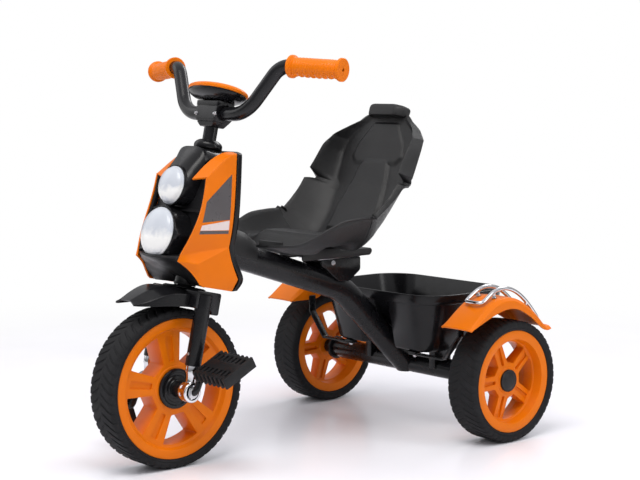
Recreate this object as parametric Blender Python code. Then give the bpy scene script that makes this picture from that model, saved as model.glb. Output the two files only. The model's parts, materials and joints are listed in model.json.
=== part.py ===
"""Child's pedal tricycle with lamp fairing, bucket seat and rear basket.

Metres, +Z up, the front wheel towards -Y, the rider's left at +X. The root
empty stands on the ground under the front axle, and the whole model is shifted
so that the world origin is the centre of its footprint. Lengths named SIDE or
HALF are measured from the centre plane.
"""

import math

import bmesh
import bpy
from mathutils import Matrix, Vector

# Clearances
GAP = 0.0003            # faces that touch
RUN = 0.0004            # a shaft in its bore, on the radius

# Overall layout
WHEELBASE = 0.523
HALF_TRACK = 0.226
STEER_RAKE = math.radians(12.5)

# Front wheel
FRONT_WHEEL_RADIUS = 0.125
FRONT_RIM_RADIUS = 0.110
RIM_HALF = 0.0265
RIM_LIP = 0.0145                # width of the flat ring at a rim's face
TYRE_HALF = 0.030
FRONT_HUB_RADIUS = 0.0345
FRONT_WEB_HALF = 0.0190
FRONT_HUB_HALF = 0.0202
FRONT_WINDOW_INNER = 0.0410
FRONT_WINDOW_OUTER = 0.0885
FRONT_WINDOW_FOOT = 0.0121      # half width of a window at its inner end
FRONT_WINDOW_SLANT = math.radians(27)
FRONT_SPOKE_TURN = math.radians(25)
FRONT_CHANNEL = 0.012           # width of the channel down each spoke
CHANNEL_DEPTH = 0.0035
HUB_DISC_RADIUS = 0.0316
HUB_DISC_DEPTH = 0.0052
HUB_COLLAR_RADIUS = 0.0115
SPOKES = 5

# Rear wheels
REAR_WHEEL_RADIUS = 0.102
REAR_RIM_RADIUS = 0.0856
REAR_HUB_RADIUS = 0.0215
REAR_HUB_HALF = 0.0135
REAR_WEB_HALF = 0.0085
REAR_WINDOW_INNER = 0.0300
REAR_WINDOW_OUTER = 0.0658
REAR_WINDOW_FOOT = 0.0080
REAR_WINDOW_SLANT = math.radians(36)
REAR_SPOKE_TURN = math.radians(38)
REAR_CHANNEL = 0.008
REAR_CAP_RADIUS = 0.0186
REAR_AXLE_RADIUS = 0.005

# Crank, which is also the front axle, and pedals
CRANK_RADIUS = 0.0055
CRANK_LENGTH = 0.0455
CRANK_ANGLE = math.radians(66)      # from straight back, upwards
CRANK_BEND = 0.008
CRANK_SIDE = 0.0735
PEDAL_INNER = 0.0825
PEDAL_WIDTH = 0.078
PEDAL_LENGTH = 0.062
PEDAL_THICKNESS = 0.017
PEDAL_TILT = math.radians(27)
PEDAL_RIGHT_TILT = math.radians(-72)
PEDAL_PIN_LENGTH = 0.070
PEDAL_RIBS = 5
PEDAL_RIB = 0.0070
PEDAL_TOOTH = 0.0035            # how far the ribs' ends stand out
PEDAL_BAR_HALF = 0.0095         # solid bar over the pin
PEDAL_EDGE = 0.0055             # solid edge beyond the slots

# Fork, measured along and across the steering axis from the front axle
LEG_SIDE = 0.0555
LEG_RADIUS = 0.0125
LEG_WALL = 0.002
LEG_BOTTOM = 0.040
LEG_TOP = 0.1505
LUG_SHANK = 0.025
EYE_RADIUS = 0.016
EYE_HALF = 0.011
CROWN_TOP = 0.156
CROWN_HALF = 0.060
CROWN_CLEAR_HALF = 0.041
CROWN_CLEAR_TOP = 0.142
CROWN_FRONT = -0.018
CROWN_BACK = 0.0285
CROWN_EAR_BOTTOM = 0.1215
CROWN_SKIRT = 0.128
CROWN_BOSS_RADIUS = 0.0172
COLUMN_RADIUS = 0.011
COLUMN_BORE = 0.0085

# Head tube and its bearings, along the steering axis
HEAD_RADIUS = 0.0165
HEAD_WALL = 0.0025
HEAD_BOTTOM = 0.1645
HEAD_TOP = 0.372
BUSH_FLANGE = 0.004
BUSH_DEPTH = 0.016
COLLAR_RADIUS = 0.0225
COLLAR_HEIGHT = 0.014

# Handlebar and its clamp, along the steering axis
BAR_RADIUS = 0.011
BAR_BORE = 0.0090
BAR_HEIGHT = 0.434
BAR_RISE = 0.078
BAR_LOW_SIDE = 0.076
BAR_HIGH_SIDE = 0.1305
BAR_END_SIDE = 0.234
BAR_FORWARD = 0.003             # of the clamped middle, behind the axis
BAR_SETBACK = 0.0125
BAR_SWEEP = 0.031
BAR_BEND = 0.034
CLAMP_HALF = 0.024
CLAMP_FOOT_SHARE = 0.62         # width at the column as a share of the width above
CLAMP_TAPER_HEIGHT = 0.022
CLAMP_FRONT = -0.0155
CLAMP_BACK = 0.0175
CLAMP_BOTTOM = 0.4115
CLAMP_TOP = 0.4520
CLAMP_SOCKET = 0.0055           # how far the column enters the clamp
GRIP_LENGTH = 0.093
GRIP_RADIUS = 0.0135
GRIP_SWELL = 0.0010
GRIP_FLANGE = 0.0178
GRIP_FLANGE_DEPTH = 0.0045
GRIP_END = 0.004
GRIP_HOLE = 0.003

# Dash pod on the clamp
DASH_HALF = 0.060
DASH_LENGTH_HALF = 0.037
DASH_DEPTH = 0.0155
DASH_TILT = math.radians(9.5)
BEZEL_HEIGHT = 0.007

# Frame tubes
MAIN_RADIUS = 0.022
MAIN_WALL = 0.0022
MAIN_START_Y = 0.050
MAIN_START_Z = 0.3499
MAIN_BEND_Y = 0.3636
MAIN_BEND_Z = 0.2479
MAIN_BEND_RADIUS = 0.11
MAIN_END_Z = REAR_WHEEL_RADIUS - 0.004
AXLE_TUBE_RADIUS = 0.0175
AXLE_TUBE_WALL = 0.003
AXLE_TUBE_HALF = HALF_TRACK - 0.040
AXLE_BUSH_RADIUS = 0.021
AXLE_BUSH_FLANGE = 0.006
AXLE_BUSH_DEPTH = 0.018
SADDLE_HEIGHT = 0.014           # of the stiffening saddle over the main tube's front
SADDLE_WALL = 0.003
SADDLE_START_Y = 0.108
SADDLE_END_Y = 0.160

# Fairing, in the trike's own frame
FAIRING_SKIN = 0.003
BACK_PLATE = 0.0065
BACK_PLATE_GAP = 0.0011
ROOF_SWELL = 0.0080
ROOF_LEAN = 0.0053              # the shells' roof skin leans back this far towards the plate
LAMP_RAKE = math.radians(15)
UPPER_LAMP_RADIUS = 0.0300
UPPER_LAMP_Y = 0.0120
UPPER_LAMP_Z = 0.4390
LOWER_LAMP_RADIUS = 0.0395
LOWER_LAMP_Y = -0.0110
LOWER_LAMP_Z = 0.3700
LAMP_RIM = 0.0022
LENS_DOME = 0.007
LENS_SKIN = 0.002
REFLECTOR_DEPTH = 0.016
REFLECTOR_SKIN = 0.0012

# Seat and what carries it
BRACKET_TOP_Z = MAIN_BEND_Z + MAIN_RADIUS + 0.0326
BRACKET_WALL = 0.003
BRACKET_FOOT = 0.0141           # of the bracket's side walls, over the bend's middle
BRACKET_FRONT_Y = 0.298
BRACKET_BACK_Y = 0.386
SEAT_SKIN = 0.004
SEAT_PARTING = 7                # station where the pan meets the back
SLIDER_HALF = 0.030
SLIDER_WALL = 0.003
SLIDER_TOP_Z = BRACKET_TOP_Z + 0.0140
SLIDER_FRONT_Y = 0.252
SLIDER_PAD_BACK_Y = 0.332       # the slider's raised pad, which the pan's underside trims
SLIDER_PAD_TOP_Z = BRACKET_TOP_Z + 0.0190
SLIDER_BACK_Y = 0.408
RAIL_FRONT_Y = 0.290
RAIL_BACK_Y = 0.384
RAIL_HEIGHT = 0.008
HEADREST_HALF = 0.0495
HEADREST_HEIGHT = 0.018
HEADREST_DEPTH = 0.027
HEADREST_FORWARD = 0.006
NOTCH_HALF = 0.033
NOTCH_BACK_Y = 0.232
LEVER_HALF = 0.029
LEVER_PLATE = 0.004
LEVER_DEPTH = 0.019
LEVER_HEIGHT = 0.0165
LEVER_CLEAR = 0.0015            # the plate's foot stands this far over the pivot, above the main tube
LEVER_BARREL = 0.0057
LEVER_PIN = 0.0022
LEVER_PIVOT_Z = BRACKET_TOP_Z + 0.0197

# Basket, its carrier and the stays
BASKET_FRONT_Y = WHEELBASE - 0.093
BASKET_BACK_Y = WHEELBASE + 0.115
BASKET_HALF = HALF_TRACK - 0.075
BASKET_TOP_Z = 0.240
BASKET_BOTTOM_Z = 0.1385
BASKET_WAIST_Z = 0.1885
BASKET_TAPER = 0.030
BASKET_WALL = 0.003
BASKET_BAND = 0.016
BASKET_BAND_STEP = 0.0035
BASKET_CORNER = 0.062
CARRIER_HALF = 0.090
CARRIER_ARM = 0.018
CARRIER_PLATE = 0.003
CARRIER_FRONT_Y = WHEELBASE - 0.071
CARRIER_BACK_Y = WHEELBASE + 0.079
CARRIER_FOOT = 0.020
STAY_FRONT_Y = WHEELBASE - 0.0685
STAY_BACK_Y = WHEELBASE - 0.0545
STAY_STRIP = 0.003
STAY_KNEE_Z = 0.1765
STAY_TOP_Z = 0.206

# Rear fenders
FENDER_SIDE_IN = HALF_TRACK - 0.0355
FENDER_SIDE_OUT = HALF_TRACK + 0.0335
FENDER_SKIN = 0.003
FENDER_FOLD = 0.006
RAIL_TUBE_RADIUS = 0.0034
RAIL_STUD_RADIUS = 0.0026
RAIL_SIDE_IN = HALF_TRACK - 0.019
RAIL_SIDE_OUT = HALF_TRACK + 0.016
RAIL_LOOP_FRONT_Y = WHEELBASE - 0.065
RAIL_LOOP_BACK_Y = WHEELBASE + 0.065
RAIL_LIFT = 0.0075
RAIL_ARCH = 0.0065

# Facets round a full turn
FINE = 24
MEDIUM = 16
COARSE = 12
BORE_SIDES = 6

# World place of the root: the footprint's centre is the origin
FOOTPRINT_CENTRE_Y = (BASKET_BACK_Y - FRONT_WHEEL_RADIUS) / 2

# Finishes: name, colour, roughness, metallic
ORANGE = ("orange_plastic", (0.83, 0.21, 0.008), 0.28, 0.0)
BLACK_GLOSS = ("black_gloss_plastic", (0.012, 0.012, 0.014), 0.18, 0.0)
BLACK_PAINT = ("black_painted_steel", (0.010, 0.010, 0.012), 0.25, 0.0)
BLACK_SATIN = ("black_satin_plastic", (0.030, 0.030, 0.033), 0.45, 0.0)
TYRE = ("tyre_rubber", (0.016, 0.016, 0.017), 0.75, 0.0)
CHROME = ("chrome", (0.78, 0.78, 0.80), 0.10, 1.0)
STEEL = ("zinc_steel", (0.55, 0.55, 0.56), 0.35, 1.0)
NYLON = ("black_nylon", (0.020, 0.020, 0.021), 0.55, 0.0)
LENS = ("lamp_lens", (0.80, 0.82, 0.88), 0.12, 0.0)
SILVER = ("lamp_reflector", (0.85, 0.85, 0.87), 0.15, 1.0)


def clear_scene():
    for obj in list(bpy.data.objects):
        bpy.data.objects.remove(obj, do_unlink=True)


def material(finish):
    name, colour, roughness, metallic = finish
    found = bpy.data.materials.get(name)
    if found:
        return found
    made = bpy.data.materials.new(name)
    made.use_nodes = True
    made.diffuse_color = (*colour, 1.0)
    shader = made.node_tree.nodes["Principled BSDF"]
    shader.inputs["Base Color"].default_value = (*colour, 1.0)
    shader.inputs["Roughness"].default_value = roughness
    shader.inputs["Metallic"].default_value = metallic
    return made


def empty(name, parent, location=(0, 0, 0), rotation=(0, 0, 0)):
    obj = bpy.data.objects.new(name, None)
    bpy.context.scene.collection.objects.link(obj)
    obj.parent = parent
    obj.location = location
    obj.rotation_euler = rotation
    return obj


def add_object(name, bm, finish, parent, sharp=35.0):
    """Turn a bmesh into a named object, faces outwards, round parts smooth."""
    bmesh.ops.recalc_face_normals(bm, faces=bm.faces)
    mesh = bpy.data.meshes.new(name)
    bm.to_mesh(mesh)
    bm.free()
    mesh.shade_smooth()
    mesh.set_sharp_from_angle(angle=math.radians(sharp))
    obj = bpy.data.objects.new(name, mesh)
    bpy.context.scene.collection.objects.link(obj)
    obj.parent = parent
    if finish:
        mesh.materials.append(material(finish))
    return obj


def add_cutter(name, bm, parent):
    obj = add_object(name, bm, None, parent)
    obj.hide_render = True
    obj.display_type = 'WIRE'
    return obj


def boolean(obj, other, operation='DIFFERENCE'):
    modifier = obj.modifiers.new(other.name, 'BOOLEAN')
    modifier.operation = operation
    modifier.solver = 'EXACT'
    modifier.object = other


def skin(bm, rings, around=False):
    """Bridge rings of points; around joins the last ring to the first."""
    rows = [[bm.verts.new(point) for point in ring] for ring in rings]
    pairs = list(zip(rows, rows[1:]))
    if around:
        pairs.append((rows[-1], rows[0]))
    for low, high in pairs:
        for i in range(len(low)):
            j = (i + 1) % len(low)
            bm.faces.new((low[i], low[j], high[j], high[i]))
    if not around:
        bm.faces.new(rows[0])
        bm.faces.new(rows[-1])
    return bm


def loft(rings):
    return skin(bmesh.new(), rings)


AXES = {
    'X': (Vector((1, 0, 0)), Vector((0, 1, 0)), Vector((0, 0, 1))),
    'Y': (Vector((0, 1, 0)), Vector((0, 0, 1)), Vector((1, 0, 0))),
    'Z': (Vector((0, 0, 1)), Vector((1, 0, 0)), Vector((0, 1, 0))),
}


def circle(centre, axis, radius, sides, turn=0.5):
    """Points round a circle; half a step of turn puts a flat at each quarter."""
    _, side, up = AXES[axis]
    centre = Vector(centre)
    points = []
    for i in range(sides):
        angle = 2 * math.pi * (i + turn) / sides
        points.append(centre + radius * (math.cos(angle) * side + math.sin(angle) * up))
    return points


def turned_ring(profile, axis, sides, bm=None, flats=False):
    """Revolve a closed profile of (along, radius) points that misses the axis.

    With flats the radius is measured to the middle of each facet.
    """
    along, side, up = AXES[axis]
    stretch = 1 / math.cos(math.pi / sides) if flats else 1.0
    rings = []
    for i in range(sides):
        angle = 2 * math.pi * (i + 0.5) / sides
        spoke = math.cos(angle) * side + math.sin(angle) * up
        rings.append([a * along + r * stretch * spoke for a, r in profile])
    return skin(bm or bmesh.new(), rings, around=True)


def turned_solid(profile, axis, sides, bm=None, origin=(0, 0, 0)):
    """Revolve an open profile of (along, radius) points and cap both ends."""
    along = AXES[axis][0]
    rings = [circle(Vector(origin) + a * along, axis, r, sides) for a, r in profile]
    return skin(bm or bmesh.new(), rings)


def slab(low, high, bm=None):
    """A rectangular block between two corners."""
    bm = bm or bmesh.new()
    size = Vector(high) - Vector(low)
    place = Matrix.Translation((Vector(low) + Vector(high)) / 2) @ Matrix.Diagonal((*size, 1))
    bmesh.ops.create_cube(bm, size=1, matrix=place)
    return bm


def extrusion(outline, axis, start, end):
    """Extrude a closed outline along an axis from start to end."""
    along, side, up = AXES[axis]
    rings = [[a * side + b * up + t * along for a, b in outline] for t in (start, end)]
    return loft(rings)


def filleted(points, radius, steps):
    """Round the inner corners of a path with arcs of about the radius."""
    path = [Vector(points[0])]
    for before, corner, after in zip(points, points[1:], points[2:]):
        before, corner, after = Vector(before), Vector(corner), Vector(after)
        into = (before - corner).normalized()
        out = (after - corner).normalized()
        half = into.angle(out) / 2
        reach = radius / math.tan(half)
        start = corner + into * reach
        end = corner + out * reach
        centre = corner + (into + out).normalized() * (radius / math.sin(half))
        from_centre = (start - centre).normalized()
        to_centre = (end - centre).normalized()
        for i in range(steps + 1):
            path.append(centre + radius * from_centre.slerp(to_centre, i / steps))
    path.append(Vector(points[-1]))
    return path


def lengthened(path, extra):
    """A path run out straight past both of its ends."""
    first = path[0] + (path[0] - path[1]).normalized() * extra
    last = path[-1] + (path[-1] - path[-2]).normalized() * extra
    return [first] + path[1:-1] + [last]


def swept_rings(path, radius, sides, side_hint):
    """Circles square to a path."""
    rings = []
    for i, point in enumerate(path):
        before = path[max(i - 1, 0)]
        after = path[min(i + 1, len(path) - 1)]
        run = (after - before).normalized()
        side = (side_hint - run * run.dot(side_hint)).normalized()
        up = run.cross(side)
        ring = []
        for k in range(sides):
            angle = 2 * math.pi * (k + 0.5) / sides
            ring.append(point + radius * (math.cos(angle) * side + math.sin(angle) * up))
        rings.append(ring)
    return rings


# Wheels

def window_cutter(name, parent, turn, inner, outer, foot, slant):
    """Prisms between the spokes: straight slanted sides and an arc under the rim."""
    bm = bmesh.new()
    edge = slant + math.asin((foot * math.cos(slant) - inner * math.sin(slant)) / outer)
    outline = [(inner, -foot)]
    outline += [(outer * math.cos(a), outer * math.sin(a)) for a in (-edge, 0.0, edge)]
    outline += [(inner, foot)]
    for i in range(SPOKES):
        spin = Matrix.Rotation(turn + 2 * math.pi * (i + 0.5) / SPOKES, 4, 'X')
        skin(bm, [[spin @ Vector((x, a, b)) for a, b in outline] for x in (-TYRE_HALF, TYRE_HALF)])
    return add_cutter(name, bm, parent)


def channel_cutter(name, parent, turn, inner, outer, width, floor):
    """A channel down the middle of each spoke, on both faces of the wheel."""
    bm = bmesh.new()
    half = width / 2
    outline = [(inner, -half * 0.8), (outer, -half), (outer, half), (inner, half * 0.8)]
    for i in range(SPOKES):
        spin = Matrix.Rotation(turn + 2 * math.pi * i / SPOKES, 4, 'X')
        for sign in (1, -1):
            skin(bm, [[spin @ Vector((sign * x, a, b)) for a, b in outline] for x in (floor, TYRE_HALF)])
    return add_cutter(name, bm, parent)


def tyre_profile(rim_radius, tyre_radius):
    bore = rim_radius + GAP
    wall = tyre_radius - bore
    half = [
        (TYRE_HALF * 0.90, bore),
        (TYRE_HALF, bore + wall * 0.45),
        (TYRE_HALF * 0.88, bore + wall * 0.88),
        (TYRE_HALF * 0.45, tyre_radius),
    ]
    return half + [(-a, r) for a, r in half[::-1]]


def make_tyre(name, rim_radius, tyre_radius, parent):
    bm = turned_ring(tyre_profile(rim_radius, tyre_radius), 'X', FINE, flats=True)
    return add_object(name, bm, TYRE, parent)


def rim_profile(rim_radius, hub_radius, hub_half, bore, web_half):
    """Barrel with a flat ring at each face, a dished web and a hub."""
    lip = rim_radius - RIM_LIP
    half = [(hub_half, bore), (hub_half, hub_radius), (web_half, lip - 0.004), (RIM_HALF, lip),
            (RIM_HALF, rim_radius)]
    return half + [(-a, r) for a, r in half[::-1]]


def make_rim(name, profile, turn, window, channel, parent):
    """Turned rim with its windows and channels cut."""
    rim = add_object(name, turned_ring(profile, 'X', FINE, flats=True), ORANGE, parent)
    boolean(rim, window_cutter(f"{name}_window_cutter", parent, turn, *window))
    boolean(rim, channel_cutter(f"{name}_channel_cutter", parent, turn, *channel))


def make_front_wheel(parent):
    bore = CRANK_RADIUS + RUN
    make_tyre("front_tyre", FRONT_RIM_RADIUS, FRONT_WHEEL_RADIUS, parent)
    profile = rim_profile(FRONT_RIM_RADIUS, FRONT_HUB_RADIUS, FRONT_HUB_HALF, bore, FRONT_WEB_HALF)
    window = (FRONT_WINDOW_INNER, FRONT_WINDOW_OUTER, FRONT_WINDOW_FOOT, FRONT_WINDOW_SLANT)
    floor = FRONT_WEB_HALF - CHANNEL_DEPTH
    channel = (FRONT_HUB_RADIUS + 0.008, FRONT_WINDOW_OUTER - 0.005, FRONT_CHANNEL, floor)
    make_rim("front_rim", profile, FRONT_SPOKE_TURN, window, channel, parent)
    start = FRONT_HUB_HALF + GAP
    step = start + HUB_DISC_DEPTH
    collar_end = LEG_SIDE - EYE_HALF - 0.001
    profile = [
        (start, bore), (start, HUB_DISC_RADIUS), (step - 0.001, HUB_DISC_RADIUS), (step, 0.0290),
        (step + 0.0015, HUB_COLLAR_RADIUS + 0.003), (collar_end, HUB_COLLAR_RADIUS), (collar_end, bore),
    ]
    for side, sign in (("left", 1), ("right", -1)):
        bm = turned_ring([(sign * a, r) for a, r in profile], 'X', MEDIUM)
        add_object(f"hub_disc_{side}", bm, BLACK_GLOSS, parent)


def make_rear_wheel(side, sign, parent):
    make_tyre(f"rear_tyre_{side}", REAR_RIM_RADIUS, REAR_WHEEL_RADIUS, parent)
    bore = REAR_AXLE_RADIUS + RUN
    profile = rim_profile(REAR_RIM_RADIUS, REAR_HUB_RADIUS, REAR_HUB_HALF, bore, REAR_WEB_HALF)
    window = (REAR_WINDOW_INNER, REAR_WINDOW_OUTER, REAR_WINDOW_FOOT, REAR_WINDOW_SLANT)
    floor = REAR_WEB_HALF - CHANNEL_DEPTH * 0.7
    channel = (REAR_HUB_RADIUS + 0.006, REAR_WINDOW_OUTER - 0.004, REAR_CHANNEL, floor)
    make_rim(f"rear_rim_{side}", profile, REAR_SPOKE_TURN, window, channel, parent)
    seat = REAR_HUB_HALF + GAP
    profile = [(seat, REAR_CAP_RADIUS), (seat + 0.003, REAR_CAP_RADIUS),
               (seat + 0.0048, REAR_CAP_RADIUS * 0.86), (seat + 0.0054, REAR_CAP_RADIUS * 0.5)]
    bm = turned_solid([(sign * a, r) for a, r in profile], 'X', MEDIUM)
    add_object(f"hub_cap_{side}", bm, NYLON, parent)


# Crank and pedals

def crank_pin(sign):
    """Pedal pin place in the axle's own frame, left cranked up, right down."""
    return (sign * CRANK_LENGTH * math.cos(CRANK_ANGLE), sign * CRANK_LENGTH * math.sin(CRANK_ANGLE))


def make_crank(parent):
    corners = []
    for sign in (-1, 1):
        y, z = crank_pin(sign)
        run = [(PEDAL_INNER + PEDAL_PIN_LENGTH, y, z), (CRANK_SIDE, y, z), (CRANK_SIDE, 0, 0)]
        run = [Vector((sign * x, b, c)) for x, b, c in run]
        corners += run if sign < 0 else run[::-1]
    y, z = crank_pin(1)
    square = Vector((0, -z, y)).normalized()
    path = filleted(corners, CRANK_BEND, 2)
    add_object("crank_shaft", loft(swept_rings(path, CRANK_RADIUS, COARSE, square)), BLACK_PAINT, parent)


def make_pedal(side, sign, parent):
    """Platform of ribs whose ends stand out as teeth, joined by a bar over the pin."""
    half = PEDAL_LENGTH / 2
    top = PEDAL_THICKNESS / 2
    pitch = (PEDAL_WIDTH - PEDAL_RIB) / (PEDAL_RIBS - 1)
    comb = []
    for i in range(PEDAL_RIBS):
        start = pitch * i
        comb += [(start, half), (start + PEDAL_RIB, half)]
        if i < PEDAL_RIBS - 1:
            comb += [(start + PEDAL_RIB, half - PEDAL_TOOTH), (start + pitch, half - PEDAL_TOOTH)]
    outline = comb + [(a, -b) for a, b in comb[::-1]]
    rings = [[Vector((sign * a, b, height)) for a, b in outline] for height in (-top, top)]
    pedal = add_object(f"pedal_{side}", loft(rings), NYLON, parent)
    slots = bmesh.new()
    for row in (-1, 1):
        for i in range(PEDAL_RIBS - 1):
            across = sorted((sign * (pitch * i + PEDAL_RIB), sign * pitch * (i + 1)))
            along = sorted((row * PEDAL_BAR_HALF, row * (half - PEDAL_TOOTH - PEDAL_EDGE)))
            slab((across[0], along[0], -PEDAL_THICKNESS), (across[1], along[1], PEDAL_THICKNESS), slots)
    boolean(pedal, add_cutter(f"pedal_slot_cutter_{side}", slots, parent))
    bore = turned_solid([(-0.01 * sign, CRANK_RADIUS + RUN),
                         (sign * (PEDAL_PIN_LENGTH + RUN), CRANK_RADIUS + RUN)], 'X', COARSE)
    boolean(pedal, add_cutter(f"pedal_bore_cutter_{side}", bore, parent))


# Fork and steering, in the frame of the steering axis

def make_fork(parent):
    crown_profile = [
        (CROWN_FRONT, CROWN_TOP), (CROWN_FRONT, CROWN_SKIRT), (-LEG_RADIUS - 0.001, CROWN_SKIRT),
        (LEG_RADIUS + 0.002, CROWN_SKIRT), (LEG_RADIUS + 0.003, CROWN_EAR_BOTTOM + 0.001),
        (LEG_RADIUS + 0.005, CROWN_EAR_BOTTOM), (CROWN_BACK - 0.004, CROWN_EAR_BOTTOM),
        (CROWN_BACK, CROWN_EAR_BOTTOM + 0.004), (CROWN_BACK, CROWN_TOP - 0.005),
        (CROWN_BACK - 0.005, CROWN_TOP),
    ]
    bm = extrusion(crown_profile, 'X', -CROWN_HALF, CROWN_HALF)
    crown = add_object("fork_crown", bm, BLACK_PAINT, parent)
    boss_top = HEAD_BOTTOM - BUSH_FLANGE - 2 * GAP
    boss = turned_solid([(CROWN_TOP - 0.004, CROWN_BOSS_RADIUS), (boss_top - 0.001, CROWN_BOSS_RADIUS),
                         (boss_top, CROWN_BOSS_RADIUS - 0.0008)], 'Z', COARSE)
    boolean(crown, add_cutter("crown_boss_form", boss, parent), 'UNION')
    wheel_gap = slab((-CROWN_CLEAR_HALF, -0.06, 0.05), (CROWN_CLEAR_HALF, 0.06, CROWN_CLEAR_TOP))
    boolean(crown, add_cutter("crown_gap_cutter", wheel_gap, parent))
    sockets = bmesh.new()
    for sign in (-1, 1):
        turned_solid([(0.10, LEG_RADIUS + GAP), (LEG_TOP + GAP, LEG_RADIUS + GAP)], 'Z', COARSE,
                     sockets, origin=(sign * LEG_SIDE, 0, 0))
    turned_solid([(0.10, COLUMN_RADIUS + GAP), (0.20, COLUMN_RADIUS + GAP)], 'Z', COARSE, sockets)
    boolean(crown, add_cutter("crown_socket_cutter", sockets, parent))
    for side, sign in (("left", 1), ("right", -1)):
        make_fork_leg(side, sign, parent)


def make_fork_leg(side, sign, parent):
    axle = empty(f"fork_leg_{side}_axis", parent, (sign * LEG_SIDE, 0, 0))
    inner = LEG_RADIUS - LEG_WALL
    profile = [(LEG_BOTTOM, inner), (LEG_BOTTOM, LEG_RADIUS - 0.0008),
               (LEG_BOTTOM + 0.001, LEG_RADIUS), (LEG_TOP, LEG_RADIUS), (LEG_TOP, inner)]
    add_object(f"fork_leg_{side}", turned_ring(profile, 'Z', COARSE), BLACK_PAINT, axle)
    shank = inner - GAP
    neck = LEG_BOTTOM - GAP
    rings = [
        circle((0, 0, LEG_BOTTOM + LUG_SHANK), 'Z', shank, COARSE),
        circle((0, 0, neck), 'Z', shank, COARSE),
        circle((0, 0, neck), 'Z', LEG_RADIUS - 0.0012, COARSE),
        circle((0, 0, LEG_BOTTOM - 0.011), 'Z', LEG_RADIUS - 0.0012, COARSE),
    ]
    for height, wide, deep in ((0.021, 0.0092, 0.0085), (0.010, 0.0085, 0.0090)):
        ring = circle((0, 0, height), 'Z', 1.0, COARSE)
        rings.append([Vector((p.x * wide, p.y * deep, height)) for p in ring])
    lug = add_object(f"fork_lug_{side}", loft(rings), CHROME, axle)
    rim = 0.0014
    cup = EYE_RADIUS - 0.0042
    bore = CRANK_RADIUS + RUN
    face = EYE_HALF
    profile = [(-face, bore), (-face, EYE_RADIUS - rim), (face - rim, EYE_RADIUS),
               (face, EYE_RADIUS - rim), (face, cup), (face - 0.004, cup - 0.001), (face - 0.004, bore)]
    eye = turned_ring([(sign * a, r) for a, r in profile], 'X', COARSE)
    bore_cutter = turned_solid([(-0.02, bore), (0.02, bore)], 'X', COARSE)
    boolean(lug, add_cutter(f"fork_eye_form_{side}", eye, axle), 'UNION')
    boolean(lug, add_cutter(f"fork_eye_cutter_{side}", bore_cutter, axle))


def make_column(parent):
    """Tube from the crown up into the clamp."""
    bottom = CROWN_CLEAR_TOP + 0.002
    top = CLAMP_BOTTOM + CLAMP_SOCKET
    profile = [(bottom, COLUMN_BORE), (bottom, COLUMN_RADIUS), (top - 0.001, COLUMN_RADIUS),
               (top, COLUMN_RADIUS - 0.001), (top, COLUMN_BORE)]
    add_object("steering_column", turned_ring(profile, 'Z', COARSE), BLACK_PAINT, parent)


def make_clamp(parent):
    """Lower block welded on the column and the cap that grips the bar."""
    split = BAR_HEIGHT - BAR_RADIUS - 0.004
    corner = 0.004
    seam = 0.003
    body_profile = [
        (CLAMP_FRONT + corner, CLAMP_BOTTOM), (CLAMP_BACK - corner, CLAMP_BOTTOM),
        (CLAMP_BACK, CLAMP_BOTTOM + corner), (CLAMP_BACK, CLAMP_TOP - corner),
        (CLAMP_BACK - corner, CLAMP_TOP), (seam, CLAMP_TOP), (seam, split), (CLAMP_FRONT, split),
        (CLAMP_FRONT, CLAMP_BOTTOM + corner),
    ]
    cap_profile = [
        (CLAMP_FRONT, split + GAP), (seam - GAP, split + GAP), (seam - GAP, CLAMP_TOP),
        (CLAMP_FRONT + corner, CLAMP_TOP), (CLAMP_FRONT, CLAMP_TOP - corner),
    ]
    body = clamp_part("clamp_body", body_profile, parent)
    cap = clamp_part("clamp_cap", cap_profile, parent)
    groove = turned_solid([(-0.05, BAR_RADIUS + GAP), (0.05, BAR_RADIUS + GAP)], 'X', COARSE,
                          origin=(0, seam, BAR_HEIGHT))
    groove = add_cutter("bar_groove_cutter", groove, parent)
    boolean(body, groove)
    boolean(cap, groove)
    socket = turned_solid([(CLAMP_BOTTOM - 0.01, COLUMN_RADIUS + GAP),
                           (CLAMP_BOTTOM + CLAMP_SOCKET + GAP, COLUMN_RADIUS + GAP)], 'Z', COARSE)
    boolean(body, add_cutter("column_socket_cutter", socket, parent))


def clamp_part(name, profile, parent):
    """Extrude a side profile, narrower towards the column below."""
    rings = []
    for sign in (-1, 1):
        ring = []
        for f, s in profile:
            rise = (s - CLAMP_BOTTOM) / CLAMP_TAPER_HEIGHT
            taper = min(1.0, CLAMP_FOOT_SHARE + (1 - CLAMP_FOOT_SHARE) * rise)
            ring.append(Vector((sign * CLAMP_HALF * taper, f, s)))
        rings.append(ring)
    return add_object(name, loft(rings), BLACK_PAINT, parent)


def bar_path():
    """Centre line of the handlebar from its right end to its left one."""
    half = [
        (0, BAR_FORWARD, BAR_HEIGHT),
        (BAR_LOW_SIDE, BAR_FORWARD, BAR_HEIGHT),
        (BAR_HIGH_SIDE, BAR_SETBACK, BAR_HEIGHT + BAR_RISE),
        (BAR_END_SIDE, BAR_SETBACK + BAR_SWEEP, BAR_HEIGHT + BAR_RISE),
    ]
    left = filleted(half, BAR_BEND, 3)[1:]
    right = [Vector((-p.x, p.y, p.z)) for p in left[::-1]]
    return right + left




def make_handlebar(parent):
    path = bar_path()
    rings = swept_rings(path, BAR_RADIUS, COARSE, Vector((0, 1, 0)))
    bar = add_object("handlebar", loft(rings), BLACK_PAINT, parent)
    bore = add_cutter("bar_bore_cutter", loft(swept_rings(lengthened(path, BAR_BORE), BAR_BORE, BORE_SIDES,
                                                          Vector((0, 1, 0)))), parent)
    boolean(bar, bore)


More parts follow.
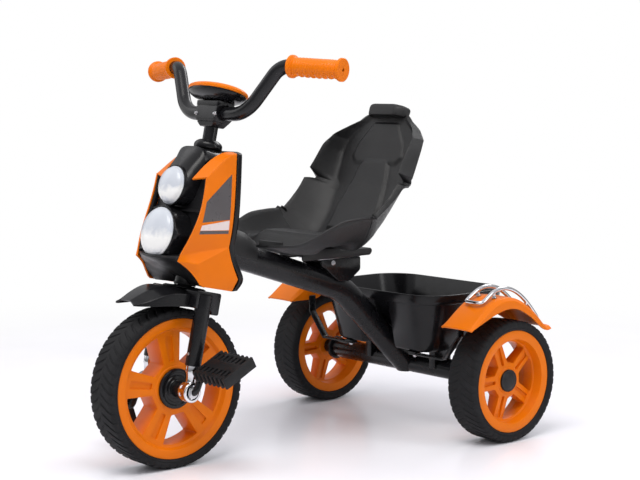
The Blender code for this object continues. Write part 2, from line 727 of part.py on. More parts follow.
def make_grip(side, sign, parent):
    """Sleeve with a flange at each end and a small hole in its outer end."""
    path = bar_path()[::sign]
    end = path[-1]
    outward = (end - path[-2]).normalized()
    axis = empty(f"grip_{side}_axis", parent, end)
    axis.rotation_euler = outward.to_track_quat('Z', 'Y').to_euler()
    bore = BAR_RADIUS + GAP
    start = GRIP_END - GRIP_LENGTH
    edge = 0.001
    neck = GRIP_FLANGE_DEPTH + 0.003
    profile = [
        (start, bore), (start, GRIP_FLANGE - edge), (start + edge, GRIP_FLANGE),
        (start + GRIP_FLANGE_DEPTH, GRIP_FLANGE), (start + neck, GRIP_RADIUS),
        (start + GRIP_LENGTH / 2, GRIP_RADIUS + GRIP_SWELL), (GRIP_END - neck, GRIP_RADIUS),
        (GRIP_END - GRIP_FLANGE_DEPTH, GRIP_FLANGE), (GRIP_END - edge, GRIP_FLANGE),
        (GRIP_END, GRIP_FLANGE - edge), (GRIP_END, GRIP_HOLE), (GAP, GRIP_HOLE), (GAP, bore),
    ]
    add_object(f"grip_{side}", turned_ring(profile, 'Z', COARSE), ORANGE, axis)


def ellipse(height, wide, deep, sides):
    ring = circle((0, 0, height), 'Z', 1.0, sides)
    return [Vector((p.x * wide, p.y * deep, height)) for p in ring]


def make_dash(parent):
    """Bowl on the clamp with an orange bezel round a sunken face."""
    seat = CLAMP_TOP + GAP
    pod = empty("dash_axis", parent, (0, 0.001, seat + DASH_DEPTH), (-DASH_TILT, 0, 0))
    rings = []
    for drop, share in ((0.0, 1.0), (0.004, 0.97), (0.009, 0.80), (0.013, 0.52), (0.030, 0.40)):
        rings.append(ellipse(-drop, DASH_HALF * share, DASH_LENGTH_HALF * share, MEDIUM))
    bowl = add_object("dash_housing", loft(rings), BLACK_GLOSS, pod)
    clear = slab((-0.05, -0.05, seat - 0.05), (0.05, 0.05, seat))
    boolean(bowl, add_cutter("dash_seat_cutter", clear, parent))
    face = [
        (GAP, 1.0, 1.0), (BEZEL_HEIGHT * 0.45, 1.03, 1.04), (BEZEL_HEIGHT, 0.90, 0.88),
        (BEZEL_HEIGHT * 1.1, 0.74, 0.70), (BEZEL_HEIGHT * 0.6, 0.68, 0.62),
    ]
    rings = [ellipse(h, DASH_HALF * w, DASH_LENGTH_HALF * d, MEDIUM) for h, w, d in face]
    add_object("dash_bezel", loft(rings), ORANGE, pod)


def make_front_fender(parent):
    """Beak ahead of the crown: flat roof, creased shoulders, short skirts."""
    back = CROWN_FRONT - GAP
    stations = [
        # across the axis, roof, shoulder, skirt, half width
        (-0.1060, 0.1240, 0.1195, 0.1165, 0.0240),
        (-0.1000, 0.1290, 0.1200, 0.1168, 0.0275),
        (-0.0850, 0.1405, 0.1260, 0.1190, 0.0330),
        (-0.0650, 0.1520, 0.1375, 0.1225, 0.0380),
        (-0.0450, 0.1550, 0.1465, 0.1260, 0.0410),
        (back, 0.1550, 0.1490, CROWN_SKIRT, 0.0440),
    ]
    t = FENDER_SKIN
    rings = []
    for i, (f, roof, shoulder, skirt, half) in enumerate(stations):
        outer = [(half, skirt), (half, shoulder), (half * 0.52, roof), (0, roof + 0.0008)]
        inner = [(half - t, skirt), (half - t, shoulder - t * 0.4), (half * 0.50, roof - t), (0, roof - t)]
        if i == 0:
            inner = [(a, min(b, skirt + 0.001)) for a, b in inner]
        section = outer + [(-a, b) for a, b in outer[-2::-1]]
        section += [(-a, b) for a, b in inner] + inner[-2::-1]
        rings.append([Vector((a, f, b)) for a, b in section])
    add_object("front_fender", loft(rings), BLACK_GLOSS, parent)


# Frame

def head_axis_y(z):
    """Distance behind the front axle of the steering axis at a height."""
    return (z - FRONT_WHEEL_RADIUS) * math.tan(STEER_RAKE)


def make_head(parent):
    inner = HEAD_RADIUS - HEAD_WALL
    profile = [(HEAD_BOTTOM, inner), (HEAD_BOTTOM, HEAD_RADIUS), (HEAD_TOP, HEAD_RADIUS), (HEAD_TOP, inner)]
    add_object("head_tube", turned_ring(profile, 'Z', COARSE), BLACK_PAINT, parent)
    bore = COLUMN_RADIUS + RUN
    plug = inner - GAP
    flange = HEAD_RADIUS + 0.001
    for name, base, up in (("head_bush_lower", HEAD_BOTTOM, 1), ("head_bush_upper", HEAD_TOP, -1)):
        face = base - up * GAP
        profile = [(face - up * BUSH_FLANGE, bore), (face - up * BUSH_FLANGE, flange), (face, flange),
                   (face, plug), (base + up * BUSH_DEPTH, plug), (base + up * BUSH_DEPTH, bore)]
        add_object(name, turned_ring(profile, 'Z', COARSE), NYLON, parent)
    base = HEAD_TOP + BUSH_FLANGE + 2 * GAP
    profile = [(base, bore), (base, COLLAR_RADIUS), (base + COLLAR_HEIGHT * 0.45, COLLAR_RADIUS),
               (base + COLLAR_HEIGHT * 0.8, COLLAR_RADIUS * 0.86),
               (base + COLLAR_HEIGHT, COLLAR_RADIUS * 0.64), (base + COLLAR_HEIGHT, bore)]
    add_object("headset_collar", turned_ring(profile, 'Z', COARSE), BLACK_GLOSS, parent)


def main_path():
    """Centre line of the main tube from the head tube to the rear axle."""
    points = [
        (0, MAIN_START_Y, MAIN_START_Z),
        (0, MAIN_BEND_Y, MAIN_BEND_Z),
        (0, WHEELBASE, MAIN_END_Z),
    ]
    return filleted(points, MAIN_BEND_RADIUS, 5)


def main_clearance(gap):
    """The main tube grown by a gap, as a cutter for what fits round it."""
    path = main_path()
    path[0] = path[0] - (path[1] - path[0]).normalized() * gap * 2
    return loft(swept_rings(path, MAIN_RADIUS + gap, COARSE, Vector((1, 0, 0))))


def main_height(y):
    """Height of the main tube's centre line at a distance back."""
    path = main_path()
    for low, high in zip(path, path[1:]):
        if low.y <= y <= high.y:
            return low.z + (high.z - low.z) * (y - low.y) / (high.y - low.y)
    return path[-1].z


def make_main_tube(parent, head):
    across = Vector((1, 0, 0))
    rings = swept_rings(main_path(), MAIN_RADIUS, COARSE, across)
    tube = add_object("main_tube", loft(rings), BLACK_PAINT, parent)
    bore = MAIN_RADIUS - MAIN_WALL
    rings = swept_rings(lengthened(main_path(), bore), bore, BORE_SIDES, across)
    boolean(tube, add_cutter("main_bore_cutter", loft(rings), parent))
    cope = turned_solid([(0, HEAD_RADIUS + GAP), (0.45, HEAD_RADIUS + GAP)], 'Z', COARSE)
    boolean(tube, add_cutter("head_cope_cutter", cope, head))
    saddle = turned_solid([(-0.06, AXLE_TUBE_RADIUS + GAP), (0.06, AXLE_TUBE_RADIUS + GAP)], 'X', COARSE,
                          origin=(0, WHEELBASE, REAR_WHEEL_RADIUS))
    boolean(tube, add_cutter("axle_cope_cutter", saddle, parent))


def make_tube_saddle(parent):
    """Stiffener hugging the top of the main tube where it leaves the fairing."""
    slope = math.atan2(MAIN_START_Z - MAIN_BEND_Z, MAIN_BEND_Y - MAIN_START_Y)
    run = Vector((0, math.cos(slope), -math.sin(slope)))
    up = Vector((0, math.sin(slope), math.cos(slope)))
    start = Vector((0, SADDLE_START_Y, main_height(SADDLE_START_Y)))
    length = (SADDLE_END_Y - SADDLE_START_Y) / math.cos(slope)
    inner = MAIN_RADIUS + GAP
    wide = inner + SADDLE_WALL
    angles = [math.radians(-8 + 196 * k / 6) for k in range(7)]
    rings = []
    for share, rise in ((0.0, 1.0), (0.70, 0.92), (0.90, 0.72), (1.0, 0.40)):
        origin = start + run * (share * length)
        high = wide + SADDLE_HEIGHT * rise
        section = [(wide * math.cos(a), (high if math.sin(a) > 0 else wide) * math.sin(a)) for a in angles]
        section += [(inner * math.cos(a), inner * math.sin(a)) for a in angles[::-1]]
        rings.append([origin + Vector((a, 0, 0)) + up * b for a, b in section])
    saddle = add_object("tube_saddle", loft(rings), BLACK_SATIN, parent)
    boolean(saddle, add_cutter("saddle_bore_cutter", main_clearance(GAP), parent))


def make_rear_axle(parent):
    axle = empty("rear_axle_axis", parent, (0, WHEELBASE, REAR_WHEEL_RADIUS))
    inner = AXLE_TUBE_RADIUS - AXLE_TUBE_WALL
    profile = [(-AXLE_TUBE_HALF, inner), (-AXLE_TUBE_HALF, AXLE_TUBE_RADIUS),
               (AXLE_TUBE_HALF, AXLE_TUBE_RADIUS), (AXLE_TUBE_HALF, inner)]
    add_object("axle_tube", turned_ring(profile, 'X', COARSE), BLACK_PAINT, axle)
    bore = REAR_AXLE_RADIUS + RUN
    plug = inner - GAP
    for side, sign in (("left", 1), ("right", -1)):
        face = AXLE_TUBE_HALF + GAP
        end = HALF_TRACK - REAR_HUB_HALF - 0.0008
        shoulder = face + AXLE_BUSH_FLANGE
        profile = [(face - AXLE_BUSH_DEPTH, bore), (face - AXLE_BUSH_DEPTH, plug), (face, plug),
                   (face, AXLE_BUSH_RADIUS), (shoulder, AXLE_BUSH_RADIUS), (shoulder + 0.002, 0.0135),
                   (end, 0.012), (end, bore)]
        bm = turned_ring([(sign * a, r) for a, r in profile], 'X', COARSE)
        add_object(f"axle_bush_{side}", bm, NYLON, axle)
    end = HALF_TRACK + REAR_HUB_HALF
    profile = [(-end, REAR_AXLE_RADIUS - 0.0005), (-end + 0.0005, REAR_AXLE_RADIUS),
               (end - 0.0005, REAR_AXLE_RADIUS), (end, REAR_AXLE_RADIUS - 0.0005)]
    add_object("rear_axle", turned_solid(profile, 'X', COARSE), STEEL, axle)


# Fairing

SHELL_LINES = (
    # down the left shell's outer skin: front edge, the crease behind it and rear edge
    ((0.0400, 0.0215, 0.4504), (0.0450, 0.0450, 0.4740), (0.0450, 0.0990, 0.4890)),
    ((0.0670, 0.0305, 0.4540), (0.0650, 0.0460, 0.4650), (0.0600, 0.0930, 0.4870)),
    ((0.0690, 0.0245, 0.4260), (0.0683, 0.0400, 0.4280), (0.0635, 0.0875, 0.4325)),
    ((0.0710, 0.0145, 0.3965), (0.0705, 0.0310, 0.3960), (0.0650, 0.0830, 0.3931)),
    ((0.0680, -0.0009, 0.3648), (0.0685, 0.0180, 0.3640), (0.0650, 0.0776, 0.3623)),
    ((0.0585, -0.0140, 0.3370), (0.0610, 0.0080, 0.3392), (0.0640, 0.0735, 0.3440)),
    ((0.0556, -0.0189, 0.3278), (0.0720, 0.0074, 0.3233), (0.0642, 0.0732, 0.3420)),
    ((0.0600, -0.0040, 0.3165), (0.0718, 0.0100, 0.3120), (0.0640, 0.0770, 0.3225)),
    ((0.0665, 0.0045, 0.3040), (0.0714, 0.0140, 0.2990), (0.0640, 0.0905, 0.2915)),
    ((0.0698, 0.0130, 0.2905), (0.0708, 0.0170, 0.2872), (0.0620, 0.0800, 0.2735)),
)


def shell_rows():
    """Rows of five points from front to rear; the first two, the roof, swell upwards."""
    rows = []
    for i, line in enumerate(SHELL_LINES):
        front, crease, rear = [Vector(point) for point in line]
        row = [front, crease]
        for share in (1 / 3, 2 / 3):
            swell = ROOF_SWELL * math.sin(math.pi * share) if i < 2 else 0.0
            row.append(crease.lerp(rear, share) + Vector((0, swell / 2, swell)))
        rows.append(row + [rear])
    return rows


def make_shell(side, sign, parent):
    """Moulded skin, creased along its shoulder, its waist and the step above its foot."""
    bm = bmesh.new()
    net = [[bm.verts.new((sign * x, y, z)) for x, y, z in row] for row in shell_rows()]
    for low, high in zip(net, net[1:]):
        for i in range(len(low) - 1):
            bm.faces.new((low[i], low[i + 1], high[i + 1], high[i]))
    shell = add_object(f"fairing_shell_{side}", bm, ORANGE, parent, sharp=20.0)
    face = max(shell.data.polygons, key=lambda p: p.area)
    solid = shell.modifiers.new("wall", 'SOLIDIFY')
    solid.thickness = FAIRING_SKIN
    solid.offset = -1.0 if face.normal.x * sign > 0 else 1.0


def make_back_plate(parent, head):
    """Plate behind the shells, following their rear edges."""
    edge = [rear for _, _, rear in SHELL_LINES]
    lead_in = 0.0015
    rings = []
    for i, (half, front, z) in enumerate(edge[:5] + edge[7:]):
        near = front + BACK_PLATE_GAP + (ROOF_LEAN if i < 2 else 0)
        far = near + BACK_PLATE
        rings.append([Vector((half, near, z)), Vector((half - lead_in, far, z)),
                      Vector((-half + lead_in, far, z)), Vector((-half, near, z))])
    plate = add_object("fairing_back", loft(rings), BLACK_GLOSS, parent)
    boolean(plate, add_cutter("back_plate_cutter", main_clearance(0.002), parent))
    tube = HEAD_RADIUS + GAP
    collar = COLLAR_RADIUS + 0.001
    well = HEAD_TOP - HEAD_RADIUS
    clear = turned_solid([(HEAD_BOTTOM, tube), (well, tube), (well, collar), (HEAD_TOP + 0.10, collar)],
                         'Z', COARSE)
    boolean(plate, add_cutter("back_plate_head_cutter", clear, head))


HOOD_STATIONS = (
    # radius, distance back, height and backward tilt of each ring of the upper lamp's hood
    (UPPER_LAMP_RADIUS + LAMP_RIM - 0.0008, UPPER_LAMP_Y, UPPER_LAMP_Z, LAMP_RAKE),
    (UPPER_LAMP_RADIUS + LAMP_RIM, UPPER_LAMP_Y + 0.004, UPPER_LAMP_Z - 0.001, LAMP_RAKE),
    (0.0352, 0.036, 0.4460, LAMP_RAKE),
    (0.0380, 0.060, 0.4590, math.radians(8)),
    (0.0380, 0.081, 0.4600, 0.0),
)


def lamp_empty(name, parent, y, z):
    """A lamp's axis: local Z points forwards and a little up."""
    return empty(name, parent, (0, y, z), (math.pi / 2 - LAMP_RAKE, 0, 0))


def make_nose(parent, head, upper, lower):
    """Black core between the shells: chin, flat cheeks, and a hood round each lamp."""
    sections = [
        # height, half width, front at the flank, front at the middle
        (0.2880, 0.0560, 0.0330, 0.0420),
        (0.2930, 0.0590, 0.0210, 0.0345),
        (0.3062, 0.0600, 0.0100, 0.0108),
        (0.3155, 0.0560, 0.0020, -0.0061),
        (0.3320, 0.0525, -0.0140, -0.0350),
        (0.3350, 0.0545, 0.0160, 0.0160),
        (0.3635, 0.0600, 0.0200, 0.0200),
        (0.3985, 0.0605, 0.0220, 0.0220),
        (0.4000, 0.0605, 0.0180, 0.0180),
        (0.4040, 0.0600, 0.0260, 0.0260),
        (0.4300, 0.0585, 0.0340, 0.0340),
        (0.4520, 0.0540, 0.0440, 0.0440),
    ]
    rings = []
    for z, half, flank, middle in sections:
        back = head_axis_y(z) + 0.004
        flank = min(flank, back - 0.004)
        middle = min(middle, back - 0.002)
        ring = [(half, back), (half, flank), (0, middle), (-half, flank), (-half, back)]
        rings.append([Vector((x, y, z)) for x, y in ring])
    nose = add_object("fairing_nose", loft(rings), BLACK_GLOSS, parent, sharp=25.0)
    hood = []
    for radius, y, z, tilt in HOOD_STATIONS:
        lean = Matrix.Translation((0, y, z)) @ Matrix.Rotation(math.pi / 2 - tilt, 4, 'X')
        hood.append([lean @ point for point in circle((0, 0, 0), 'Z', radius, MEDIUM)])
    boolean(nose, add_cutter("upper_hood_form", loft(hood), parent), 'UNION')
    wall = LOWER_LAMP_RADIUS + LAMP_RIM
    flare = turned_solid([(-0.044, wall * 1.22), (-0.028, wall * 1.10), (-0.004, wall), (0.0, wall - 0.0008)],
                         'Z', MEDIUM)
    boolean(nose, add_cutter("lower_hood_form", flare, lower), 'UNION')
    for lamp, radius in ((upper, UPPER_LAMP_RADIUS), (lower, LOWER_LAMP_RADIUS)):
        pocket = turned_solid([(-REFLECTOR_DEPTH - 0.003, radius * 0.55), (-LENS_SKIN - 0.001, radius),
                               (0.01, radius)], 'Z', MEDIUM)
        boolean(nose, add_cutter(f"{lamp.name}_pocket_cutter", pocket, lamp))
    bore = turned_solid([(HEAD_BOTTOM - 0.06, HEAD_RADIUS + GAP), (HEAD_TOP + 0.10, HEAD_RADIUS + GAP)],
                        'Z', COARSE)
    boolean(nose, add_cutter("nose_bore_cutter", bore, head))
    boolean(nose, add_cutter("nose_tube_cutter", main_clearance(GAP), parent))
    clear = COLLAR_RADIUS + 0.001
    top = turned_solid([(HEAD_TOP, clear), (HEAD_TOP + 0.10, clear)], 'Z', COARSE)
    boolean(nose, add_cutter("nose_collar_cutter", top, head))


def make_lamp(name, radius, lamp):
    """Domed lens over a dished reflector, both inside the hood's rim."""
    rim = radius - GAP
    rings = [circle((0, 0, -LENS_SKIN), 'Z', rim, MEDIUM)]
    for degrees in (0, 22, 45, 72):
        angle = math.radians(degrees)
        rings.append(circle((0, 0, LENS_DOME * math.sin(angle)), 'Z', rim * math.cos(angle), MEDIUM))
    add_object(f"{name}_lens", loft(rings), LENS, lamp)
    base = -LENS_SKIN - GAP
    middle = base - REFLECTOR_DEPTH * 0.5
    deep = base - REFLECTOR_DEPTH * 0.9
    bowl = [(deep, rim * 0.50), (base - 0.001, rim * 0.985), (base, rim * 0.94),
            (middle + REFLECTOR_SKIN, rim * 0.70), (deep + REFLECTOR_SKIN, rim * 0.46)]
    rings = [circle((0, 0, a), 'Z', r, MEDIUM) for a, r in bowl]
    add_object(f"{name}_reflector", loft(rings), SILVER, lamp)


# Seat

def seat_stations():
    """Centre line from the front lip to the head.

    Distance back, height over the bracket, half width, wing height and the
    height of the raised middle panel.
    """
    return [
        (0.1520, 0.0375, 0.0620, 0.0010, 0.0),
        (0.1640, 0.0345, 0.0820, 0.0040, 0.0),
        (0.1850, 0.0275, 0.1010, 0.0140, 0.0),
        (0.2100, 0.0235, 0.1140, 0.0310, 0.0),
        (0.2360, 0.0215, 0.1200, 0.0450, 0.0),
        (0.2620, 0.0205, 0.1220, 0.0545, 0.0),
        (0.3000, 0.0205, 0.1225, 0.0580, 0.0),
        (0.3340, 0.0225, 0.1220, 0.0575, 0.0),
        (0.3600, 0.0325, 0.1215, 0.0560, 0.0),
        (0.3770, 0.0475, 0.1210, 0.0540, 0.0),
        (0.3970, 0.0715, 0.1225, 0.0480, 0.0030),
        (0.4190, 0.1065, 0.1265, 0.0385, 0.0040),
        (0.4225, 0.1130, 0.1200, 0.0250, 0.0040),
        (0.4270, 0.1205, 0.1200, 0.0250, 0.0040),
        (0.4305, 0.1270, 0.1245, 0.0385, 0.0040),
        (0.4490, 0.1695, 0.1190, 0.0300, 0.0035),
        (0.4580, 0.1935, 0.1116, 0.0200, 0.0025),
        (0.4650, 0.2115, 0.0860, 0.0110, 0.0),
        (0.4710, 0.2265, 0.0560, 0.0050, 0.0),
        (0.4750, 0.2375, 0.0480, 0.0030, 0.0),
    ]


SEAT_SECTION = (
    # share of the half width, of the wing height and of the middle panel's height
    (0.0, 0.0, 1.0), (0.30, 0.0, 1.0), (0.38, 0.0, 0.0), (0.66, 0.04, 0.0), (0.84, 0.20, 0.0),
    (0.94, 0.56, 0.0), (1.0, 1.0, 0.0),
)


def seat_ring(index, stations, thickness):
    """One closed section of the seat, square to its centre line."""
    y, z, half, wing, panel = stations[index]
    before = stations[max(index - 1, 0)]
    after = stations[min(index + 1, len(stations) - 1)]
    run = Vector((0, after[0] - before[0], after[1] - before[1])).normalized()
    up = Vector((0, -run.z, run.y))
    centre = Vector((0, y, BRACKET_TOP_Z + z))
    inner = []
    outer = []
    for a, b, c in SEAT_SECTION:
        inner.append(centre + Vector((half * a, 0, 0)) + up * (wing * b + panel * c))
        rise = (wing + thickness) * b - thickness
        outer.append(centre + Vector(((half + thickness) * a, 0, 0)) + up * rise)
    section = [Vector((-p.x, p.y, p.z)) for p in inner[:0:-1]] + inner + outer[::-1]
    return section + [Vector((-p.x, p.y, p.z)) for p in outer[1:]]


def make_seat(parent):
    stations = seat_stations()
    pan_rings = [seat_ring(i, stations, SEAT_SKIN) for i in range(SEAT_PARTING + 1)]
    pan = add_object("seat_pan", loft(pan_rings), BLACK_SATIN, parent, sharp=50.0)
    notch = slab((-NOTCH_HALF, 0.10, BRACKET_TOP_Z - 0.05), (NOTCH_HALF, NOTCH_BACK_Y, BRACKET_TOP_Z + 0.15))
    boolean(pan, add_cutter("seat_notch_cutter", notch, parent))
    back_rings = []
    for i in range(SEAT_PARTING, len(stations)):
        back_rings.append(seat_ring(i, stations, SEAT_SKIN))
    back_rings[0] = [p + Vector((0, GAP * 2, 0)) for p in back_rings[0]]
    add_object("seat_back", loft(back_rings), BLACK_SATIN, parent, sharp=50.0)


def make_headrest(parent):
    """Padded block seated on the back's top edge."""
    before, top = seat_stations()[-2:]
    lean = math.atan2(top[0] - before[0], top[1] - before[1])
    foot = (0, top[0], BRACKET_TOP_Z + top[1] + GAP * 2)
    pad = empty("headrest_axis", parent, foot, (-lean, 0, 0))
    quarter = ((1, 0.45), (0.86, 1))
    plan = list(quarter) + [(-a, b) for a, b in quarter[::-1]]
    plan += [(-a, -b) for a, b in plan]
    rings = []
    for share_up, share in ((0.0, 0.88), (0.22, 0.97), (0.66, 1.0), (0.80, 0.98), (1.0, 0.90)):
        half = HEADREST_HALF * share
        deep = HEADREST_DEPTH / 2 * share
        height = HEADREST_HEIGHT * share_up
        rings.append([Vector((half * a, deep * b - HEADREST_FORWARD, height)) for a, b in plan])
    add_object("headrest", loft(rings), BLACK_SATIN, pad)


def make_seat_bracket(frame):
    """Folded bracket over the main tube with a flat steel rail on top."""
    inner = MAIN_RADIUS * math.cos(math.pi / COARSE) + GAP
    outer = inner + BRACKET_WALL
    foot = MAIN_BEND_Z + BRACKET_FOOT
    outline = [
        (BRACKET_FRONT_Y, BRACKET_TOP_Z), (BRACKET_FRONT_Y, BRACKET_TOP_Z - 0.010),
        (BRACKET_FRONT_Y + 0.012, BRACKET_TOP_Z - 0.0165), (BRACKET_FRONT_Y + 0.038, foot + 0.002),
        (BRACKET_BACK_Y - 0.026, foot), (BRACKET_BACK_Y, foot + 0.018), (BRACKET_BACK_Y, BRACKET_TOP_Z),
    ]
    bracket = add_object("seat_bracket", extrusion(outline, 'X', -outer, outer), BLACK_PAINT, frame)
    hollow = slab((-inner, BRACKET_FRONT_Y - 0.05, BRACKET_TOP_Z - 0.10),
                  (inner, BRACKET_BACK_Y + 0.05, BRACKET_TOP_Z - BRACKET_WALL))
    boolean(bracket, add_cutter("bracket_hollow_cutter", hollow, frame))
    bottom = BRACKET_TOP_Z + GAP
    wing = SLIDER_HALF - SLIDER_WALL - RUN
    bm = slab((-wing, RAIL_FRONT_Y, bottom), (wing, RAIL_BACK_Y, bottom + RAIL_HEIGHT))
    add_object("seat_rail", bm, STEEL, frame)


def make_slider(seat):
    """Block under the pan that runs along the rail, shaped to the pan's underside."""
    rail_bottom = BRACKET_TOP_Z + GAP
    bottom = rail_bottom + 0.0015
    outline = [
        (SLIDER_FRONT_Y, bottom), (SLIDER_BACK_Y - 0.005, bottom), (SLIDER_BACK_Y - 0.001, bottom + 0.004),
        (SLIDER_BACK_Y, bottom + 0.008), (SLIDER_BACK_Y - 0.003, SLIDER_TOP_Z),
        (SLIDER_PAD_BACK_Y + 0.004, SLIDER_TOP_Z), (SLIDER_PAD_BACK_Y, SLIDER_PAD_TOP_Z),
        (SLIDER_FRONT_Y, SLIDER_PAD_TOP_Z),
    ]
    slider = add_object("seat_slider", extrusion(outline, 'X', -SLIDER_HALF, SLIDER_HALF),
                        BLACK_SATIN, seat)
    wing = SLIDER_HALF - SLIDER_WALL
    channel = slab((-wing, SLIDER_FRONT_Y - 0.05, BRACKET_TOP_Z - 0.05),
                   (wing, SLIDER_BACK_Y - 0.004, rail_bottom + RAIL_HEIGHT + GAP))
    boolean(slider, add_cutter("slider_channel_cutter", channel, seat))
    stations = seat_stations()
    clear = loft([seat_ring(i, stations, SEAT_SKIN + GAP) for i in range(len(stations))])
    boolean(slider, add_cutter("slider_seat_cutter", clear, seat))


def make_seat_lever(lever):
    """Hanging plate with a barrel along its top, on pins in the pan's notch."""
    front = -LEVER_DEPTH
    outline = [(front, LEVER_CLEAR)]
    for i in range(7):
        angle = math.radians(-90 + 180 * i / 6)
        outline.append((LEVER_BARREL * math.cos(angle), LEVER_BARREL * math.sin(angle)))
    outline += [(front + LEVER_PLATE + 0.0015, 0.0045), (front + LEVER_PLATE, LEVER_HEIGHT),
                (front, LEVER_HEIGHT)]
    plate = add_object("seat_lever", extrusion(outline, 'X', -LEVER_HALF, LEVER_HALF), BLACK_SATIN, lever)
    reach = NOTCH_HALF - GAP
    pins = turned_solid([(-reach, LEVER_PIN), (reach, LEVER_PIN)], 'X', 8)
    boolean(plate, add_cutter("lever_pin_form", pins, lever), 'UNION')


# Basket and rear fenders

def rounded_rectangle(half, front, back, corner, per_corner):
    points = []
    centres = ((half - corner, back - corner, 0), (-half + corner, back - corner, 90),
               (-half + corner, front + corner, 180), (half - corner, front + corner, 270))
    for cx, cy, start in centres:
        for i in range(per_corner + 1):
            angle = math.radians(start + 90 * i / per_corner)
            points.append((cx + corner * math.cos(angle), cy + corner * math.sin(angle)))
    return points


def basket_ring(z, inset, band=0.0):
    """Outline of the tub at a height, drawn in round the main tube in front."""
    share = (BASKET_TOP_Z - z) / (BASKET_TOP_Z - BASKET_BOTTOM_Z)
    draw = BASKET_TAPER * share + inset - band
    front = BASKET_FRONT_Y + draw * 0.75
    back = BASKET_BACK_Y - draw * 0.75
    half = BASKET_HALF - draw
    corner = max(0.02, BASKET_CORNER - draw)
    outline = rounded_rectangle(half, front, back, corner, 3)
    third = len(outline) // 4 * 3
    relief_half = MAIN_RADIUS + 0.012
    tube_back = tube_back_y(z) + 0.004 + inset
    pocket = max(front, tube_back)
    pocket_points = [(-relief_half - 0.008, front), (-relief_half + 0.004, pocket),
                     (relief_half - 0.004, pocket), (relief_half + 0.008, front)]
    outline = outline[:third] + pocket_points + outline[third:]
    return [Vector((x, y, z)) for x, y in outline]


def tube_back_y(z):
    """Rear face of the main tube's lower run at a height."""
    path = main_path()
    low, high = path[-1], path[-2]
    centre = low.y + (high.y - low.y) * (z - low.z) / (high.z - low.z)
    slope = (high - low).normalized()
    return centre + MAIN_RADIUS / abs(slope.z)


def make_basket(parent):
    band_bottom = BASKET_TOP_Z - BASKET_BAND
    t = BASKET_WALL
    rings = [
        basket_ring(BASKET_BOTTOM_Z, 0.006),
        basket_ring(BASKET_BOTTOM_Z + 0.005, 0.0),
        basket_ring(BASKET_WAIST_Z, 0.0),
        basket_ring(band_bottom - GAP * 2, 0.0),
        basket_ring(band_bottom, 0.0, BASKET_BAND_STEP),
        basket_ring(BASKET_TOP_Z - 0.0015, 0.0, 0.0),
        basket_ring(BASKET_TOP_Z, 0.0015, 0.0),
        basket_ring(BASKET_TOP_Z, t, 0.0),
        basket_ring(BASKET_WAIST_Z, t),
        basket_ring(BASKET_BOTTOM_Z + t + 0.005, t),
        basket_ring(BASKET_BOTTOM_Z + t, t + 0.006),
    ]
    add_object("basket", loft(rings), BLACK_GLOSS, parent, sharp=30.0)


def make_carrier(parent):
    """U of flat bar under the basket, seated on the axle tube."""
    top = BASKET_BOTTOM_Z - GAP
    bottom = top - CARRIER_PLATE
    outer = CARRIER_HALF
    inner = CARRIER_HALF - CARRIER_ARM
    front, back = CARRIER_FRONT_Y, CARRIER_BACK_Y
    outline = [(outer, front), (outer, back), (-outer, back), (-outer, front),
               (-inner, front), (-inner, back - CARRIER_ARM), (inner, back - CARRIER_ARM), (inner, front)]
    carrier = add_object("basket_carrier", extrusion(outline, 'Z', bottom, top), BLACK_PAINT, parent)
    feet = bmesh.new()
    for sign in (-1, 1):
        low, high = sorted((sign * (inner + 0.002), sign * (outer - 0.002)))
        slab((low, WHEELBASE - CARRIER_FOOT, REAR_WHEEL_RADIUS),
             (high, WHEELBASE + CARRIER_FOOT, bottom + 0.001), feet)
    boolean(carrier, add_cutter("carrier_feet_form", feet, parent), 'UNION')
    clear = turned_solid([(-outer * 2, AXLE_TUBE_RADIUS + GAP), (outer * 2, AXLE_TUBE_RADIUS + GAP)],
                         'X', COARSE, origin=(0, WHEELBASE, REAR_WHEEL_RADIUS))
    boolean(carrier, add_cutter("carrier_axle_cutter", clear, parent))


def fender_line():
    """Top centre line of a rear fender from the axle: y, z, outer skirt and inner skirt."""
    line = [
        (-0.1110, 0.2000, 0.0020, 0.0020),
        (-0.0930, 0.2145, 0.0090, 0.0200),
        (-0.0730, 0.2290, 0.0150, 0.0380),
        (-0.0530, 0.2400, 0.0190, 0.0400),
        (-0.0310, 0.2465, 0.0200, 0.0300),
        (-0.0050, 0.2445, 0.0180, 0.0260),
        (0.0190, 0.2350, 0.0155, 0.0240),
        (0.0500, 0.2140, 0.0130, 0.0180),
        (0.0690, 0.1940, 0.0110, 0.0120),
        (0.0780, 0.1875, 0.0080, 0.0080),
        (0.0850, 0.1890, 0.0060, 0.0060),
    ]
    return [(WHEELBASE + y, z, skirt, inner_skirt) for y, z, skirt, inner_skirt in line]


